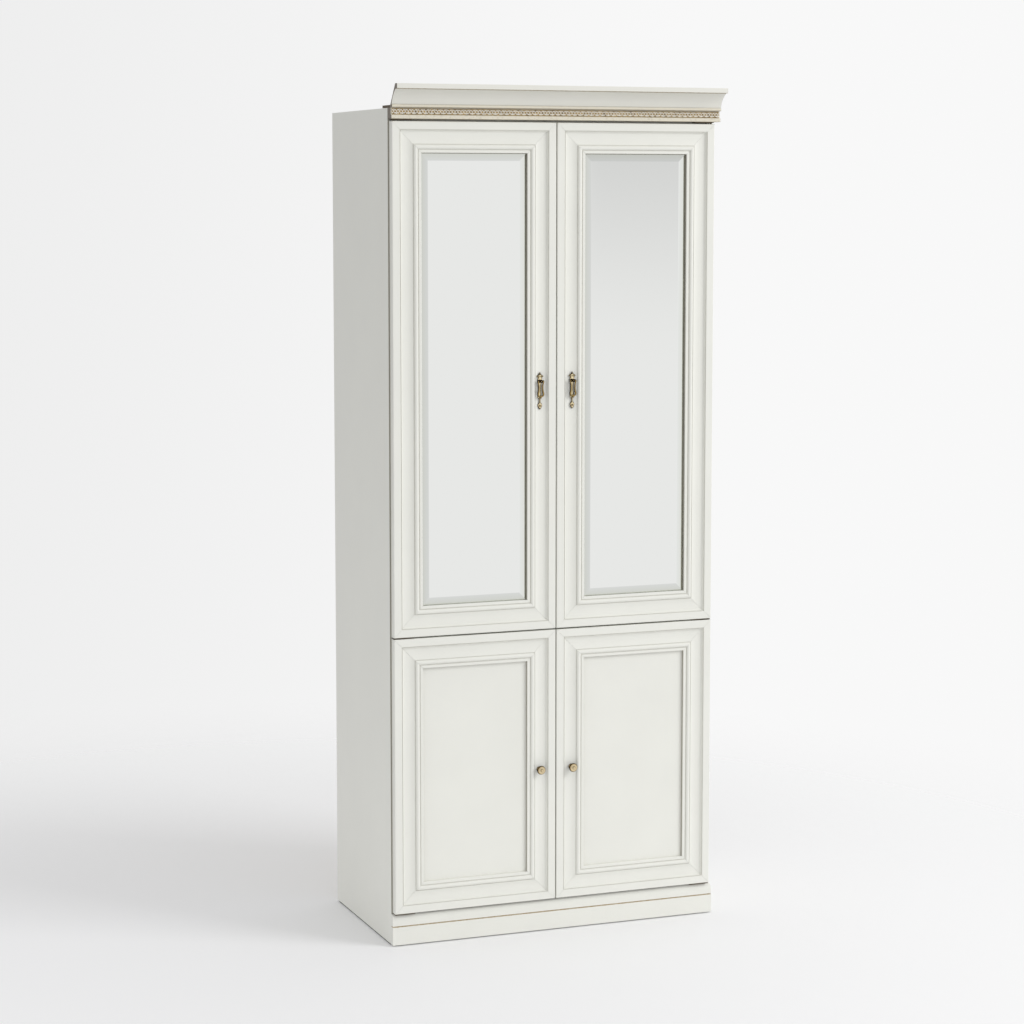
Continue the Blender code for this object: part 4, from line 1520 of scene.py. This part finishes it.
@dataclass(frozen=True)
class SoftLight:
    """A square soft box, which lights the object but is not mirrored in it.

    Args:
        name: Name of the light.
        place: Where it hangs, in metres.
        aim: What it points at, in metres.
        size: Its side, in metres.
        power: Watts.
    """

    name: str
    place: tuple[float, float, float]
    aim: tuple[float, float, float]
    size: float
    power: float

    def build(self) -> None:
        """Add the light and point it."""
        clear_selection()
        bpy.ops.object.light_add(type="AREA", location=self.place)
        lamp = bpy.context.object
        lamp.name = self.name
        lamp.data.shape = "SQUARE"
        lamp.data.size = self.size
        lamp.data.energy = self.power
        aim = Vector(self.aim) - Vector(self.place)
        lamp.rotation_euler = aim.to_track_quat("-Z", "Y").to_euler()
        lamp.visible_glossy = False
        LOG.info("%s is on", self.name)


@dataclass
class Studio:
    """Pale floor, soft surroundings, soft boxes and the camera."""

    floor_radius: float = 8.0
    room: float = 0.72  # brightness of the surroundings as a light
    low_left_share: float = 0.52  # how much of it is left below the horizon on the left
    card: float = 0.875  # brightness of the pale card that the bevels mirror
    dim: float = 0.66  # brightness of the dimmer patch high on the right
    to_the_side: tuple[float, float, float] = (0.932, -0.361, 0.0)  # across the backdrop, left to right
    camera_place: tuple[float, float, float] = (-2.6069, -6.6145, 1.9842)
    camera_pitch: float = 5.968  # degrees below level
    camera_heading: float = 21.173  # degrees to the right of straight ahead
    camera_lens: float = 91.937
    camera_shift: float = -0.045
    paper_left: float = 0.855  # brightness of the backdrop at the left
    paper_right: float = 0.94
    LIGHTS: ClassVar[tuple[SoftLight, ...]] = (
        SoftLight("key_softbox", (4.6, -4.4, 4.6), (0.0, 0.0, 1.1), 3.0, 178.0),
        SoftLight("overhead_softbox", (0.4, -0.6, 5.6), (0.2, -0.3, 0.0), 3.6, 7.0),
        SoftLight("side_bounce", (-2.8, -0.8, 1.1), (-0.46, 0.0, 1.0), 1.2, 2.4),
    )

    def build(self) -> None:
        """Make the whole studio."""
        self.floor()
        self.surroundings()
        for light in self.LIGHTS:
            light.build()
        self.camera()

    def floor(self) -> None:
        """Lay a round floor, wide enough to run out before it ends."""
        clear_selection()
        bpy.ops.mesh.primitive_circle_add(vertices=96, radius=self.floor_radius, fill_type="NGON")
        floor = bpy.context.object
        floor.name = "studio_floor"
        StudioFloor("matt_studio_floor").paint(floor)

    def surroundings(self) -> None:
        """Surround the object with soft pale light, dimmer to the left and below."""
        world = bpy.data.worlds.new("studio_surroundings")
        bpy.context.scene.world = world
        world.use_nodes = True
        tree = world.node_tree
        tree.nodes.clear()
        toward = add_node(tree, "TexCoord", out="Generated")
        parts = add_node(tree, "SeparateXYZ", {"Vector": toward}).node.outputs
        backdrop = self.backdrop(tree, toward)
        lit = self.soft_room(tree, parts["X"], parts["Y"], parts["Z"])
        seen = add_node(tree, "LightPath")
        strength = add_node(tree, "Mix", {0: seen, 2: lit, 3: backdrop}, settings=NUMBER)
        glow = add_node(tree, "Background", {"Color": linear("#FFFFFF"), "Strength": strength})
        add_node(tree, "OutputWorld", {"Surface": glow})

    def backdrop(self, tree: NodeTree, toward: NodeSocket) -> NodeSocket:
        """Build the brightness of the paper behind the object, a little darker to the left.

        Args:
            tree: The world's node tree.
            toward: Direction that is looked in.

        Returns:
            The brightness.
        """
        side = add_node(
            tree, "VectorMath", {0: toward, 1: self.to_the_side}, settings={"operation": "DOT_PRODUCT"},
            out="Value",
        )
        return add_node(
            tree, "MapRange",
            {
                "Value": side, "From Min": -0.24, "From Max": 0.10, "To Min": self.paper_left,
                "To Max": self.paper_right,
            },
            settings=SMOOTH,
        )

    def soft_room(self, tree: NodeTree, x: NodeSocket, y: NodeSocket, z: NodeSocket) -> NodeSocket:
        """Build the brightness of the room as the object's surfaces meet it.

        Args:
            tree: The world's node tree.
            x: Direction to the right.
            y: Direction to the back.
            z: Direction up.

        Returns:
            The brightness.
        """
        sideways = add_node(
            tree, "MapRange", {"Value": x, "From Min": -1.0, "From Max": 0.5, "To Min": 0.8, "To Max": 1.08}
        )
        low_left = add_node(
            tree, "Math", {0: self.below(tree, x, (-0.1, -0.6)), 1: self.below(tree, z, (-0.05, -0.45))},
            settings=TIMES,
        )
        dimmed = add_node(
            tree, "MapRange",
            {"Value": low_left, "To Min": self.room, "To Max": self.room * self.low_left_share},
        )
        level = add_node(tree, "Math", {0: sideways, 1: dimmed}, settings=TIMES)
        ahead = add_node(tree, "Math", {0: y, 1: -1.0}, settings=TIMES)
        bearing = add_node(tree, "Math", {0: x, 1: ahead}, settings={"operation": "ARCTAN2"})
        rise = add_node(tree, "Math", {0: z}, settings={"operation": "ARCSINE"})
        paper = self.window(tree, bearing, (16.0, 18.5, 60.0, 75.0))
        band = self.window(tree, rise, (-16.5, -11.5, 4.5, 8.0))
        card = add_node(tree, "Math", {0: paper, 1: band}, settings=TIMES)
        with_card = add_node(tree, "Mix", {0: card, 2: level, 3: self.card}, settings=NUMBER)
        dim_side = self.window(tree, bearing, (21.6, 23.2, 26.5, 29.0))
        dim_rise = self.window(tree, rise, (-4.0, 3.0, 30.0, 40.0))
        dim = add_node(tree, "Math", {0: dim_side, 1: dim_rise}, settings=TIMES)
        return add_node(tree, "Mix", {0: dim, 2: with_card, 3: self.dim}, settings=NUMBER)

    def below(self, tree: NodeTree, part: NodeSocket, limits: tuple[float, float]) -> NodeSocket:
        """Return 0 where a direction's part is above the first limit, rising to 1 at the second."""
        return add_node(
            tree, "MapRange",
            {"Value": part, "From Min": limits[1], "From Max": limits[0], "To Min": 1.0, "To Max": 0.0},
        )

    def window(
        self, tree: NodeTree, angle: NodeSocket, degrees: tuple[float, float, float, float]
    ) -> NodeSocket:
        """Build a share that is 1 between the middle two angles and 0 beyond the outer two.

        Args:
            tree: The world's node tree.
            angle: The angle that is looked at.
            degrees: The four angles, rising.

        Returns:
            The share.
        """
        edges = []
        for low, high, start, end in (
            (degrees[0], degrees[1], 0.0, 1.0), (degrees[2], degrees[3], 1.0, 0.0)
        ):
            limits = {
                "From Min": math.radians(low), "From Max": math.radians(high), "To Min": start,
                "To Max": end,
            }
            edges.append(add_node(tree, "MapRange", {"Value": angle, **limits}, settings=SMOOTH))
        return add_node(tree, "Math", {0: edges[0], 1: edges[1]}, settings=TIMES)

    def camera(self) -> None:
        """Set the camera to the left of the front, far back and looking down a little."""
        clear_selection()
        bpy.ops.object.camera_add(
            location=self.camera_place,
            rotation=(math.radians(90.0 - self.camera_pitch), 0.0, -math.radians(self.camera_heading)),
        )
        camera = bpy.context.object
        camera.name = "studio_camera"
        camera.data.sensor_width = 36.0
        camera.data.lens = self.camera_lens
        camera.data.shift_y = self.camera_shift
        camera.data.clip_end = 200.0
        bpy.context.scene.camera = camera
        bpy.context.scene.view_settings.view_transform = "Standard"


def main() -> None:
    """Load the frame, dress it, build the new pieces and set the studio."""
    logging.basicConfig(level=logging.INFO, format="%(name)s: %(message)s")
    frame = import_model()
    clear_selection()
    nodes = frame["nodes"]
    Carcass(nodes).dress()
    CarvedStrip().build()
    for level in Level:
        for hand in Hand:
            door = FramedDoor(nodes, level, hand)
            door.dress()
            door.build()
    for hand in Hand:
        DropHandle(hand).build()
        TurnedKnob(hand).build()
    InteriorFittings().build()
    Studio().build()


if __name__ == "__main__":
    main()
